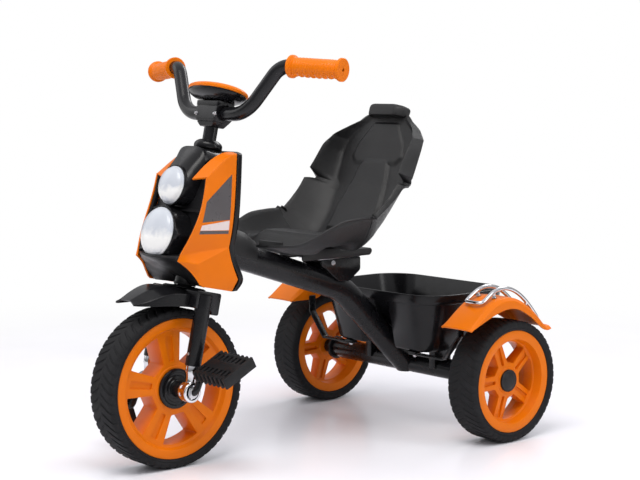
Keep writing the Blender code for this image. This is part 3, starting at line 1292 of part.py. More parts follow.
def make_fender(side, sign, parent):
    """Arched guard with rolled shoulders, skirts and a curled tail."""
    line = fender_line()
    rings = []
    middle = (FENDER_SIDE_IN + FENDER_SIDE_OUT) / 2
    half = (FENDER_SIDE_OUT - FENDER_SIDE_IN) / 2
    t = FENDER_SKIN
    for i, (y, z, skirt, inner_skirt) in enumerate(line):
        before = line[max(i - 1, 0)]
        after = line[min(i + 1, len(line) - 1)]
        run = Vector((0, after[0] - before[0], after[1] - before[1])).normalized()
        up = Vector((0, -run.z, run.y))
        fold = min(FENDER_FOLD, skirt * 0.8)
        roof = [(half, -fold), (half * 0.86, -fold * 0.25), (half * 0.45, 0.0)]
        under = [(half - t, -fold - t * 0.4), (half * 0.83, -fold * 0.25 - t), (half * 0.45, -t)]
        over = [(half, -skirt)] + roof + [(-a, b) for a, b in roof[::-1]] + [(-half, -inner_skirt)]
        low = min(-skirt, under[0][1] - 0.0005)
        inner_low = min(-inner_skirt, under[0][1] - 0.0005)
        below = [(-half + t, inner_low)] + [(-a, b) for a, b in under] + under[::-1] + [(half - t, low)]
        section = over + below
        ring = []
        for a, b in section:
            ring.append(Vector((sign * (middle + a), y, z)) + up * b)
        rings.append(ring)
    add_object(f"rear_fender_{side}", loft(rings), ORANGE, parent)


def fender_top_z(y):
    line = fender_line()
    for low, high in zip(line, line[1:]):
        if low[0] <= y <= high[0]:
            return low[1] + (high[1] - low[1]) * (y - low[0]) / (high[0] - low[0])
    return line[-1][1]


def make_fender_rail(side, sign, parent):
    """Chrome loop standing on four studs above the fender."""
    steps = 5
    run = []
    for i in range(steps + 1):
        t = i / steps
        y = RAIL_LOOP_FRONT_Y + (RAIL_LOOP_BACK_Y - RAIL_LOOP_FRONT_Y) * t
        run.append((y, fender_top_z(y) + RAIL_LIFT + RAIL_ARCH * math.sin(math.pi * t)))
    half = (RAIL_SIDE_OUT - RAIL_SIDE_IN) / 2
    middle = (RAIL_SIDE_OUT + RAIL_SIDE_IN) / 2
    turn = 0.0065
    drop = 0.002
    out_side = [(middle + half, y, z) for y, z in run]
    in_side = [(middle - half, y, z) for y, z in run[::-1]]
    (start_y, start_z), (end_y, end_z) = run[0], run[-1]
    tail = [(middle + half * share, end_y + turn, end_z - drop) for share in (0.6, -0.6)]
    nose = [(middle + half * share, start_y - turn, start_z - drop) for share in (-0.6, 0.6)]
    path = [Vector((sign * x, y, z)) for x, y, z in out_side + tail + in_side + nose]
    sides = BORE_SIDES
    rings = []
    for i, point in enumerate(path):
        ahead = (path[(i + 1) % len(path)] - path[i - 1]).normalized()
        across = ahead.cross(Vector((0, 0, 1))).normalized()
        up = across.cross(ahead)
        angles = [2 * math.pi * (k + 0.5) / sides for k in range(sides)]
        rings.append([point + RAIL_TUBE_RADIUS * (math.cos(a) * across + math.sin(a) * up) for a in angles])
    rail = add_object(f"fender_rail_{side}", skin(bmesh.new(), rings, around=True), CHROME, parent)
    studs = bmesh.new()
    stud = RAIL_STUD_RADIUS
    for x in (middle - half, middle + half):
        for y, z in (run[1], run[-2]):
            foot = max(fender_top_z(y - stud), fender_top_z(y + stud)) + GAP
            turned_solid([(foot, stud), (z, stud)], 'Z', BORE_SIDES, studs, origin=(sign * x, y, 0))
    boolean(rail, add_cutter(f"rail_studs_form_{side}", studs, parent), 'UNION')


def make_fender_stay(side, sign, parent):
    """Flat strip from under the basket carrier up to the fender's inner skirt."""
    low = BASKET_BOTTOM_Z - CARRIER_PLATE - 2 * GAP - STAY_STRIP
    wall = FENDER_SIDE_IN - GAP
    knee = wall - 0.0377
    foot = CARRIER_HALF - CARRIER_ARM
    outline = [(foot, low), (knee, low), (wall, STAY_KNEE_Z), (wall, STAY_TOP_Z),
               (wall - STAY_STRIP, STAY_TOP_Z), (wall - STAY_STRIP, STAY_KNEE_Z + 0.0013),
               (knee - 0.0013, low + STAY_STRIP), (foot, low + STAY_STRIP)]
    rings = [[Vector((sign * x, y, z)) for x, z in outline] for y in (STAY_FRONT_Y, STAY_BACK_Y)]
    add_object(f"fender_stay_{side}", loft(rings), BLACK_PAINT, parent)


def build():
    clear_scene()
    trike = empty("trike", None, (0, -FOOTPRINT_CENTRE_Y, 0))
    steering = empty("steering_axis", trike, (0, 0, FRONT_WHEEL_RADIUS), (-STEER_RAKE, 0, 0))
    head = empty("head_axis", trike, (0, 0, FRONT_WHEEL_RADIUS), (-STEER_RAKE, 0, 0))
    front_axle = empty("front_axle", steering, rotation=(STEER_RAKE, 0, 0))
    slide = empty("seat_slide", trike)
    lever = empty("seat_lever_axis", slide, (0, NOTCH_BACK_Y - LEVER_BARREL - GAP, LEVER_PIVOT_Z))
    upper = lamp_empty("upper_lamp", trike, UPPER_LAMP_Y, UPPER_LAMP_Z)
    lower = lamp_empty("lower_lamp", trike, LOWER_LAMP_Y, LOWER_LAMP_Z)

    make_front_wheel(front_axle)
    make_crank(front_axle)
    for side, sign in (("left", 1), ("right", -1)):
        y, z = crank_pin(sign)
        tilt = PEDAL_TILT if sign > 0 else PEDAL_RIGHT_TILT
        pin = empty(f"pedal_{side}_pin", front_axle, (sign * PEDAL_INNER, y, z), (tilt, 0, 0))
        make_pedal(side, sign, pin)
        hub = empty(f"rear_hub_{side}", trike, (sign * HALF_TRACK, WHEELBASE, REAR_WHEEL_RADIUS))
        make_rear_wheel(side, sign, hub)
        make_grip(side, sign, steering)
        make_shell(side, sign, trike)
        make_fender(side, sign, trike)
        make_fender_rail(side, sign, trike)
        make_fender_stay(side, sign, trike)
    make_fork(steering)
    make_column(steering)
    make_clamp(steering)
    make_handlebar(steering)
    make_dash(steering)
    make_front_fender(steering)
    make_head(head)
    make_main_tube(trike, head)
    make_tube_saddle(trike)
    make_rear_axle(trike)
    make_back_plate(trike, head)
    make_nose(trike, head, upper, lower)
    make_lamp("upper_lamp", UPPER_LAMP_RADIUS, upper)
    make_lamp("lower_lamp", LOWER_LAMP_RADIUS, lower)
    make_seat(slide)
    make_headrest(slide)
    make_seat_bracket(trike)
    make_slider(slide)
    make_seat_lever(lever)
    make_basket(trike)
    make_carrier(trike)


build()
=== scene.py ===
"""Looks of the pedal tricycle: finishes, finer forms, floor, light and camera.

Metres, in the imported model's frame: +Z up, the front wheel towards -Y. Forms
are drawn in the trike's own frame, whose origin is on the ground under the
front axle, and are placed by TRIKE or by a frame that turns with the part.
"""

import json
import math

import bmesh
import bpy
from mathutils import Matrix, Vector


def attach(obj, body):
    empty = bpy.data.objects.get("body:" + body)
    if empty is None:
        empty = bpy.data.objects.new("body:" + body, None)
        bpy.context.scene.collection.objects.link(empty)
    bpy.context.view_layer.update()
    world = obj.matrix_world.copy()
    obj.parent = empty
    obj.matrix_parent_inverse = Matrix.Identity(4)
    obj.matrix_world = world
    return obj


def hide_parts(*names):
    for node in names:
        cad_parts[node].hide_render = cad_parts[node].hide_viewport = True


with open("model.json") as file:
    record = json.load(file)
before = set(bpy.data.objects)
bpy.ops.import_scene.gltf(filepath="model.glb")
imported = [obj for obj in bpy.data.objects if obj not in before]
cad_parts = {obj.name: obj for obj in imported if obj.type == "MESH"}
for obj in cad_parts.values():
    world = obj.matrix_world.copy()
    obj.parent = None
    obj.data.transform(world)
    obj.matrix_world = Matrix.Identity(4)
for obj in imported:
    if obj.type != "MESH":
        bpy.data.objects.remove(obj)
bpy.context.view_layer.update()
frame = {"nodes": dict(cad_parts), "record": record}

SIDES = (("left", 1), ("right", -1))
FRONT_RADIUS = 0.125
REAR_RADIUS = 0.102
WHEELBASE = 0.523
HALF_TRACK = 0.226
RAKE = math.radians(12.5)
FRONT_TO_MIDDLE = 0.2565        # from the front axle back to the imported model's origin
MOULDED_WALL = 0.003
TUBE_RADIUS = 0.022
TUBE_FRONT, TUBE_BEND, TUBE_FOOT = (0.050, 0.3499), (0.3636, 0.2479), (WHEELBASE, 0.098)
TUBE_SLOPE = math.atan2(TUBE_FRONT[1] - TUBE_BEND[1], TUBE_BEND[0] - TUBE_FRONT[0])

TRIKE = Matrix.Translation((0, -FRONT_TO_MIDDLE, 0))
FRONT_AXLE = TRIKE @ Matrix.Translation((0, 0, FRONT_RADIUS))
REAR_AXLE = TRIKE @ Matrix.Translation((0, WHEELBASE, REAR_RADIUS))
STEERING = FRONT_AXLE @ Matrix.Rotation(-RAKE, 4, 'X')


# Finishes

def node_material(name, colour, roughness, metallic=0.0, specular=0.5):
    made = bpy.data.materials.new(name)
    made.use_nodes = True
    shader = made.node_tree.nodes["Principled BSDF"]
    shader.inputs["Base Color"].default_value = (*colour, 1.0)
    shader.inputs["Roughness"].default_value = roughness
    shader.inputs["Metallic"].default_value = metallic
    shader.inputs["Specular IOR Level"].default_value = specular
    return made


class Nodes:
    """Short names for adding and joining the nodes of a material or a world."""

    def __init__(self, owner, shader="Principled BSDF"):
        self.owner = owner
        self.tree = owner.node_tree
        self.shader = self.tree.nodes[shader]
        self.coordinates = self.add("ShaderNodeTexCoord").outputs
        self.place = self.coordinates["Object"]

    def add(self, kind, inputs=None, **settings):
        node = self.tree.nodes.new(kind)
        for key, value in settings.items():
            setattr(node, key, value)
        for key, value in (inputs or {}).items():
            self.feed(node.inputs[key], value)
        return node

    def feed(self, socket, value):
        if isinstance(value, bpy.types.NodeSocket):
            self.tree.links.new(value, socket)
        else:
            socket.default_value = value

    def dressed(self, colour, roughness, normal):
        """Feed the shader's main inputs and give back the material."""
        for key, value in (("Base Color", colour), ("Roughness", roughness), ("Normal", normal)):
            self.feed(self.shader.inputs[key], value)
        return self.owner

    def stretched(self, scale):
        return self.add("ShaderNodeMapping", {"Vector": self.place, "Scale": scale}).outputs["Vector"]

    def noise(self, scale, detail, where=None, roughness=0.55):
        inputs = {"Vector": where or self.place, "Scale": scale, "Detail": detail, "Roughness": roughness}
        return self.add("ShaderNodeTexNoise", inputs).outputs["Fac"]

    def cells(self, scale):
        node = self.add("ShaderNodeTexVoronoi", {"Vector": self.place, "Scale": scale},
                        feature='DISTANCE_TO_EDGE')
        return node.outputs["Distance"]

    def spread(self, value, low, high, start=0.35, end=0.65, curve='LINEAR'):
        node = self.add("ShaderNodeMapRange", {"Value": value, "From Min": start, "From Max": end,
                                               "To Min": low, "To Max": high}, interpolation_type=curve)
        return node.outputs["Result"]

    def ramp(self, value, stops):
        node = self.add("ShaderNodeValToRGB", {"Fac": value})
        while len(node.color_ramp.elements) < len(stops):
            node.color_ramp.elements.new(0.5)
        for element, (at, colour) in zip(node.color_ramp.elements, stops):
            element.position = at
            element.color = (*colour, 1.0)
        return node.outputs["Color"]

    def bump(self, height, distance, strength=1.0, below=None):
        inputs = {"Height": height, "Distance": distance, "Strength": strength}
        if below:
            inputs["Normal"] = below
        return self.add("ShaderNodeBump", inputs).outputs["Normal"]

    def math(self, operation, first, second):
        return self.add("ShaderNodeMath", {0: first, 1: second}, operation=operation).outputs["Value"]

    def seen(self, other):
        """1 for rays from the camera and for one other kind of ray."""
        rays = self.add("ShaderNodeLightPath").outputs
        return self.math('MAXIMUM', rays["Is Camera Ray"], rays[other])

    def mix(self, share, first, second, output):
        """Mixed shader to the output node, which shows first at 0 and second at 1."""
        mix = self.add("ShaderNodeMixShader", {"Fac": share, 1: first, 2: second})
        self.feed(self.tree.nodes[output].inputs["Surface"], mix.outputs["Shader"])


def shade(colour, factor):
    return tuple(min(1.0, c * factor) for c in colour)


def plastic(name, colour, roughness, grain, depth, variation, specular=0.5):
    """Moulded plastic: faint flow marks in the colour, uneven gloss, fine grain."""
    n = Nodes(node_material(name, colour, roughness, specular=specular))
    flow = n.noise(14.0, 4.0, n.stretched((1.0, 0.6, 1.6)))
    tones = n.ramp(flow, [(0.30, shade(colour, 1 - variation)), (0.55, colour),
                          (0.75, shade(colour, 1 + variation))])
    gloss = n.spread(n.noise(60.0, 5.0), roughness * 0.85, roughness * 1.2)
    fine = n.bump(n.noise(grain, 2.0), depth)
    return n.dressed(tones, gloss, n.bump(n.noise(90.0, 2.0), depth * 2.5, 0.5, fine))


def leathery(name, colour, roughness, scale, depth):
    """Satin plastic with a pebbled grain of small cells."""
    n = Nodes(node_material(name, colour, roughness, specular=0.34))
    tones = n.ramp(n.noise(35.0, 5.0), [(0.30, shade(colour, 0.80)), (0.55, colour),
                                        (0.75, shade(colour, 1.25))])
    cells = n.cells(scale)
    gloss = n.spread(cells, roughness * 1.25, roughness * 0.9, 0.0, 0.25)
    pebbles = n.bump(n.spread(cells, 0.0, 1.0, 0.0, 0.22), depth)
    return n.dressed(tones, gloss, n.bump(n.noise(scale * 2.2, 2.0), depth * 0.35, 0.6, pebbles))


def rubber(name, colour):
    """Matt rubber, a little dusty on its high parts."""
    n = Nodes(node_material(name, colour, 0.72, specular=0.18))
    dust = n.noise(26.0, 6.0, roughness=0.65)
    tones = n.ramp(dust, [(0.30, shade(colour, 0.75)), (0.52, colour), (0.72, shade(colour, 1.7))])
    return n.dressed(tones, n.spread(dust, 0.62, 0.82), n.bump(n.noise(1400.0, 3.0), 0.00012))


def powder_coat(name, colour):
    """Gloss black paint on steel with a slight orange peel."""
    n = Nodes(node_material(name, colour, 0.24, specular=0.28))
    tones = n.ramp(n.noise(9.0, 4.0), [(0.30, shade(colour, 0.8)), (0.70, shade(colour, 1.3))])
    gloss = n.spread(n.noise(45.0, 5.0), 0.19, 0.31)
    return n.dressed(tones, gloss, n.bump(n.noise(420.0, 2.0), 0.00003))


def bright_metal(name, colour, low, high, along=(1.0, 1.0, 1.0)):
    """Plated metal with faint polishing lines and smears in its gloss."""
    n = Nodes(node_material(name, colour, (low + high) / 2, metallic=1.0))
    lines = n.noise(260.0, 4.0, n.stretched(along))
    tones = n.ramp(n.noise(30.0, 3.0), [(0.30, shade(colour, 0.93)), (0.70, shade(colour, 1.04))])
    return n.dressed(tones, n.spread(lines, low, high), n.bump(lines, 0.00002))


def lamp_glass(name, cool, painted_highlight):
    """Milky lens: cool white, with a painted highlight making a brighter band low down in each lamp, and soft
    moulded mottling.
    """
    n = Nodes(node_material(name, cool, 0.10, specular=0.4))
    mottle = n.noise(70.0, 3.0)
    height = n.add("ShaderNodeSeparateXYZ", {"Vector": n.place}).outputs["Z"]
    wandering = n.math('ADD', n.spread(mottle, -0.004, 0.004), height)
    upwards = n.spread(wandering, 0.0, 1.0, 0.325, 0.475)
    # Painted light: the ramp over height paints a brighter band low in each lens, a painted highlight and not
    # a colour of the glass.
    tones = n.ramp(upwards, [
        (0.04, cool), (0.14, painted_highlight), (0.24, painted_highlight), (0.34, cool), (0.58, cool), (0.66, painted_highlight), (0.71, painted_highlight),
        (0.78, cool)])
    return n.dressed(tones, n.spread(mottle, 0.07, 0.16), n.bump(n.noise(160.0, 2.0), 0.0004, 0.5))


RECIPES = {
    "orange_plastic": (plastic, (0.70, 0.155, 0.001), 0.34, 1500.0, 0.00002, 0.05, 0.16),
    "black_gloss_plastic": (plastic, (0.007, 0.007, 0.008), 0.20, 1500.0, 0.00002, 0.3, 0.24),
    "black_satin_plastic": (leathery, (0.0105, 0.0105, 0.0112), 0.36, 900.0, 0.00010),
    "black_nylon": (plastic, (0.009, 0.009, 0.010), 0.42, 1800.0, 0.00005, 0.25, 0.25),
    "painted_steel": (powder_coat, (0.006, 0.006, 0.007)),
    "tyre": (rubber, (0.011, 0.011, 0.012)),
    "chrome": (bright_metal, (0.60, 0.60, 0.62), 0.07, 0.16),
    "zinc_steel": (bright_metal, (0.55, 0.55, 0.57), 0.24, 0.42, (1.0, 6.0, 6.0)),
    # The lens's second colour is painted light: the brighter band low in each lamp.
    "lamp_lens": (lamp_glass, (0.50, 0.53, 0.58), (0.80, 0.80, 0.78)),
    "graphic_grey": (plastic, (0.070, 0.063, 0.066), 0.30, 1200.0, 0.00001, 0.12),
    "graphic_silver": (plastic, (0.68, 0.58, 0.56), 0.28, 1200.0, 0.00001, 0.05),
    "lamp_reflector": (bright_metal, (0.85, 0.85, 0.87), 0.06, 0.12),
}
FINISHES = {name: recipe(name, *settings) for name, (recipe, *settings) in RECIPES.items()}

for part in frame["record"]["subparts"]:
    node = frame["nodes"][part["node"]]
    for material_slot in node.material_slots:
        material_slot.material = FINISHES[part["material_slot"]]


# Mesh helpers

AXES = {
    'X': (Vector((1, 0, 0)), Vector((0, 1, 0)), Vector((0, 0, 1))),
    'Y': (Vector((0, 1, 0)), Vector((0, 0, 1)), Vector((1, 0, 0))),
    'Z': (Vector((0, 0, 1)), Vector((1, 0, 0)), Vector((0, 1, 0))),
}


def at(x, y, z):
    return Matrix.Translation((x, y, z))


def tipped(angle):
    return Matrix.Rotation(angle, 4, 'X')


def skin(rings, around=False):
    """Bridge rings of points; the ends are capped, or with around joined to each other."""
    bm = bmesh.new()
    rows = [[bm.verts.new(point) for point in ring] for ring in rings]
    pairs = list(zip(rows, rows[1:]))
    if around:
        pairs.append((rows[-1], rows[0]))
    for low, high in pairs:
        for i in range(len(low)):
            j = (i + 1) % len(low)
            bm.faces.new((low[i], low[j], high[j], high[i]))
    if not around:
        bm.faces.new(rows[0])
        bm.faces.new(rows[-1])
    return bm


def quads(bm, rows):
    """Join rows of points to an open net of quads, and give back its vertices."""
    net = [[bm.verts.new(point) for point in row] for row in rows]
    for low, high in zip(net, net[1:]):
        for i in range(len(low) - 1):
            bm.faces.new((low[i], low[i + 1], high[i + 1], high[i]))
    return net


def sheet(rows):
    bm = bmesh.new()
    quads(bm, rows)
    return bm


NET_CORNERS = ((0, 0), (0, -1), (-1, 0), (-1, -1))


def creased_sheet(rows, creases, corners):
    """Net for a subdivided skin: creases are (places, sharpness), and a place is (row, column)."""
    bm = bmesh.new()
    edge_crease = bm.edges.layers.float.new('crease_edge')
    corner_crease = bm.verts.layers.float.new('crease_vert')
    net = quads(bm, rows)
    for places, sharpness in creases:
        run = [net[row][column] for row, column in places]
        for a, b in zip(run, run[1:]):
            bm.edges.get((a, b))[edge_crease] = sharpness
    for row, column in corners:
        net[row][column][corner_crease] = 1.0
    return bm


def lengthways(rows, columns):
    """Creases down whole columns of a net, given as (column, sharpness)."""
    return [([(row, column) for row in range(len(rows))], sharpness) for column, sharpness in columns]


def angles(sides, start=0.5):
    """Even steps round a circle, from a share of the first step."""
    return [2 * math.pi * (i + start) / sides for i in range(sides)]


def circle(centre, axis, radius, sides):
    _, side, up = AXES[axis]
    return [Vector(centre) + radius * (math.cos(a) * side + math.sin(a) * up) for a in angles(sides)]


def ellipse(wide, deep, height, sides):
    """Level points round the Z axis, starting on X."""
    return [Vector((wide * math.cos(a), deep * math.sin(a), height)) for a in angles(sides, 0)]


def ring(profile, axis, sides):
    """Revolve a closed profile of (along, radius) points that misses the axis."""
    along, side, up = AXES[axis]
    rings = []
    for angle in angles(sides):
        spoke = math.cos(angle) * side + math.sin(angle) * up
        rings.append([a * along + r * spoke for a, r in profile])
    return skin(rings, around=True)


def turned(profile, axis, sides, origin=(0, 0, 0)):
    """Revolve an open profile of (along, radius) points and cap both ends."""
    along = AXES[axis][0]
    return skin([circle(Vector(origin) + a * along, axis, r, sides) for a, r in profile])


def rod(axis, start, end, radius, sides, origin=(0, 0, 0)):
    return turned([(start, radius), (end, radius)], axis, sides, origin)


def mirrored(profile):
    return profile + [(-a, r) for a, r in profile[::-1]]


def facing(profile, sign, start=0.0):
    """A profile moved along its axis, and turned round for a negative sign."""
    return [(sign * (start + a), r) for a, r in profile]


def block(low, high):
    bm = bmesh.new()
    size = Vector(high) - Vector(low)
    place = Matrix.Translation((Vector(low) + Vector(high)) / 2) @ Matrix.Diagonal((*size, 1))
    bmesh.ops.create_cube(bm, size=1, matrix=place)
    return bm


def extrusion(outline, axis, start, end):
    along, side, up = AXES[axis]
    return skin([[a * side + b * up + t * along for a, b in outline] for t in (start, end)])


def rounded(outline, radius, steps):
    """Round every corner of a closed flat outline."""
    points = [Vector(p) for p in outline]
    smooth = []
    for i, corner in enumerate(points):
        into = points[i - 1] - corner
        out = points[(i + 1) % len(points)] - corner
        reach = min(radius, into.length * 0.45, out.length * 0.45)
        start = corner + into.normalized() * reach
        end = corner + out.normalized() * reach
        for k in range(steps + 1):
            t = k / steps
            smooth.append((1 - t) ** 2 * start + 2 * t * (1 - t) * corner + t * t * end)
    return [tuple(p) for p in smooth]


def filleted(points, radius, steps):
    """Round the inner corners of a path with arcs of about the radius."""
    path = [Vector(points[0])]
    for before, corner, after in zip(points, points[1:], points[2:]):
        before, corner, after = Vector(before), Vector(corner), Vector(after)
        into = (before - corner).normalized()
        out = (after - corner).normalized()
        half = into.angle(out) / 2
        reach = radius / math.tan(half)
        centre = corner + (into + out).normalized() * (radius / math.sin(half))
        start = (corner + into * reach - centre).normalized()
        end = (corner + out * reach - centre).normalized()
        path += [centre + radius * start.slerp(end, i / steps) for i in range(steps + 1)]
    path.append(Vector(points[-1]))
    return path


def smooth_curve(points, per_span, closed=False):
    """Catmull-Rom curve through points of any size."""
    points = [Vector(p) for p in points]
    last = len(points) - 1
    curve = []
    for i in range(last + 1 if closed else last):
        near = [i + k for k in (-1, 0, 1, 2)]
        a, b, c, d = [points[k % len(points) if closed else min(max(k, 0), last)] for k in near]
        for k in range(per_span):
            t = k / per_span
            curve.append(0.5 * (2 * b + (c - a) * t + (2 * a - 5 * b + 4 * c - d) * t ** 2
                                + (3 * b - a - 3 * c + d) * t ** 3))
    return curve if closed else curve + [points[-1]]


def tube(path, section, hint, around=False):
    """Sweep a closed (side, up) section along a path; the side keeps close to the hint."""
    rings = []
    count = len(path)
    for i, point in enumerate(path):
        before = path[i - 1] if around else path[max(i - 1, 0)]
        after = path[(i + 1) % count] if around else path[min(i + 1, count - 1)]
        run = (after - before).normalized()
        side = (hint - run * run.dot(hint)).normalized()
        up = run.cross(side)
        rings.append([point + a * side + b * up for a, b in section])
    return skin(rings, around)


def round_section(radius, sides):
    return [(radius * math.cos(a), radius * math.sin(a)) for a in angles(sides)]


def bend(low, high, value):
    """0 below low, 1 above high, smooth between."""
    t = min(1.0, max(0.0, (value - low) / (high - low)))
    return t * t * (3 - 2 * t)


def add_object(name, data):
    obj = bpy.data.objects.new(name, data)
    bpy.context.scene.collection.objects.link(obj)
    return obj


def mesh_of(name, bm):
    mesh = bpy.data.meshes.new(name)
    bm.to_mesh(mesh)
    bm.free()
    return mesh


def new_object(name, bm, where):
    bmesh.ops.transform(bm, matrix=where, verts=bm.verts)
    bmesh.ops.recalc_face_normals(bm, faces=bm.faces)
    return add_object(name, mesh_of(name, bm))


def modify(obj, kind, **settings):
    modifier = obj.modifiers.new(kind.lower(), kind)
    for key, value in settings.items():
        setattr(modifier, key, value)


def settle(obj):
    """Turn an object's modifiers into its mesh."""
    graph = bpy.context.evaluated_depsgraph_get()
    mesh = bpy.data.meshes.new_from_object(obj.evaluated_get(graph))
    obj.modifiers.clear()
    obj.data = mesh


def carve(obj, where, *meshes, operation='DIFFERENCE'):
    """Cut other forms out of an object, or join them to it; they share one frame."""
    cutters = [new_object("cutter", bm, where) for bm in meshes]
    for cutter in cutters:
        modify(obj, 'BOOLEAN', operation=operation, solver='EXACT', object=cutter)
    settle(obj)
    for cutter in cutters:
        bpy.data.objects.remove(cutter, do_unlink=True)


def moulded(name, bm, where, outwards):
    """Smooth a coarse net and give it its wall on the inner side."""
    shell = new_object(name, bm, where)
    modify(shell, 'SUBSURF', levels=4, render_levels=4)
    settle(shell)
    lean = max((p.normal.dot(outwards) for p in shell.data.polygons), key=abs)
    modify(shell, 'SOLIDIFY', thickness=MOULDED_WALL, offset=-1.0 if lean > 0 else 1.0)
    return shell


def finish(obj, body, slot, replaces=(), edge=0.0, sharp=32.0):
    """Round the edges, shade, give the finish and hang the piece on its body."""
    if edge:
        modify(obj, 'BEVEL', width=edge, segments=2, angle_limit=math.radians(sharp), use_clamp_overlap=True)
    settle(obj)
    obj.data.shade_smooth()
    obj.data.set_sharp_from_angle(angle=math.radians(sharp if not edge else 60.0))
    obj.data.materials.clear()
    obj.data.materials.append(FINISHES[slot])
    if replaces:
        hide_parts(*replaces)
    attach(obj, body)


def piece(name, bm, where, body, slot, replaces=(), edge=0.0, sharp=32.0):
    finish(new_object(name, bm, where), body, slot, replaces, edge, sharp)


# Wheels

SPOKES = 5
BORE_THROUGH = 0.05             # beyond either face of a rim
TYRE_PROFILE = (
    # shares of the half width and of the wall, and place across the tread from the crown's middle
    (0.90, 0.0, 2.0), (0.955, 0.10, 1.9), (0.985, 0.24, 1.8), (0.965, 0.28, 1.7), (1.000, 0.42, 1.5),
    (1.000, 0.56, 1.3), (0.985, 0.70, 1.18), (0.960, 0.82, 1.08), (0.915, 0.91, 1.0), (0.840, 0.965, 0.92),
    (0.700, 0.985, 0.78), (0.540, 0.995, 0.60), (0.380, 1.0, 0.42), (0.220, 1.0, 0.24), (0.110, 1.0, 0.12),
    (0.040, 1.0, 0.05),
)
GROOVE_STEPS = ((0.00, 1.0), (0.155, 1.0), (0.215, 0.0), (0.50, 0.0), (0.86, 0.0), (0.935, 1.0))


def tread_depth(across):
    """Share of the groove's depth: none at the crown's middle, 0, and down on the sidewall."""
    return bend(0.06, 0.16, across) * (1 - bend(1.02, 1.22, across))


def make_tyre(name, body, where, bore, radius, half, pitches, depth, node):
    """Solid tyre whose grooves slant from near the crown's middle over the shoulders."""
    profile = [(a, bore + (radius - bore) * share, c) for a, share, c in TYRE_PROFILE]
    profile += [(-a, r, -c) for a, r, c in profile[::-1]]
    pitch = 2 * math.pi / pitches
    rings = []
    for k in range(pitches):
        for share, cut in GROOVE_STEPS:
            section = []
            for a, r, c in profile:
                reach = min(abs(c), 1.15)
                slant = 1.25 * reach - 0.25 * reach ** 2 + 0.5 * bend(-0.06, 0.06, c)
                angle = pitch * (k + share + slant)
                low = r - depth * cut * tread_depth(abs(c)) * (0.75 if abs(c) > 0.95 else 1.0)
                inset = 0.5 * depth * cut * bend(0.9, 1.05, abs(c)) * (1 - bend(1.25, 1.5, abs(c)))
                x = math.copysign(abs(a) * half - inset, a)
                section.append(Vector((x, low * math.cos(angle), low * math.sin(angle))))
            rings.append(section)
    piece(name, skin(rings, around=True), where, body, "tyre", (node,), sharp=38.0)


def window(inner, outer, foot, slant, corner):
    """Outline between two spokes: a short foot, slanting sides and an outer arc."""
    edge = slant + math.asin((foot * math.cos(slant) - inner * math.sin(slant)) / outer)
    outline = [(inner, foot), (inner, -foot)]
    for k in range(9):
        angle = edge * (k / 4 - 1)
        outline.append((outer * math.cos(angle), outer * math.sin(angle)))
    return rounded(outline, corner, 4)


def channel(inner, outer, half_in, half_out):
    """Outline of the groove along a spoke."""
    outline = [(inner, -half_in), (outer, -half_out), (outer, half_out), (inner, half_in)]
    return rounded(outline, 0.0022, 3)


def spun(bm, turn):
    bmesh.ops.transform(bm, matrix=tipped(turn), verts=bm.verts)
    return bm


def make_rim(name, body, where, half, sides, turn, opening, groove, floor, node, edge):
    """Rim with windows between its spokes and a groove along both faces of each spoke."""
    rim = new_object(name, ring(mirrored(half), 'X', sides), Matrix())
    cutters = []
    for i in range(SPOKES):
        bm = extrusion(opening, 'X', -BORE_THROUGH, BORE_THROUGH)
        cutters.append(spun(bm, turn + 2 * math.pi * (i + 0.5) / SPOKES))
    for i in range(SPOKES):
        for _, sign in SIDES:
            bm = extrusion(groove, 'X', sign * floor, sign * BORE_THROUGH)
            cutters.append(spun(bm, turn + 2 * math.pi * i / SPOKES))
    carve(rim, Matrix(), *cutters)
    rim.data.transform(where)
    finish(rim, body, "orange_plastic", (node,), edge=edge, sharp=28.0)


def make_front_wheel():
    """Tyre, spoked rim and a stepped cover on each side of the hub."""
    make_tyre("front_tyre_tread", "front_wheel", FRONT_AXLE, 0.1103, FRONT_RADIUS, 0.030, 52, 0.0015,
              "front_tyre")
    half = [(0.0202, 0.0060), (0.0202, 0.0345), (0.0190, 0.0360), (0.0190, 0.0890), (0.0200, 0.0925),
            (0.0262, 0.0958), (0.0265, 0.0966), (0.0265, 0.1092), (0.0258, 0.1100)]
    opening = window(0.0410, 0.0885, 0.0121, math.radians(27), 0.0022)
    groove = channel(0.043, 0.0835, 0.00475, 0.00625)
    make_rim("front_wheel_rim", "front_wheel", FRONT_AXLE, half, 120, math.radians(25), opening, groove,
             0.0158, "front_rim", 0.0009)
    profile = [(0.0, 0.0059), (0.0, 0.0312), (0.0006, 0.0316), (0.0040, 0.0314), (0.0048, 0.0302),
               (0.0048, 0.0262), (0.0036, 0.0254), (0.0036, 0.0212), (0.0052, 0.0204), (0.0052, 0.0160),
               (0.0068, 0.0150), (0.0068, 0.0128), (0.0220, 0.0118), (0.0225, 0.0113), (0.0225, 0.0059)]
    for side, sign in SIDES:
        piece(f"hub_cover_{side}", ring(facing(profile, sign, 0.0205), 'X', 72), FRONT_AXLE, "front_wheel",
              "black_gloss_plastic", (f"hub_disc_{side}",), edge=0.0004, sharp=40.0)


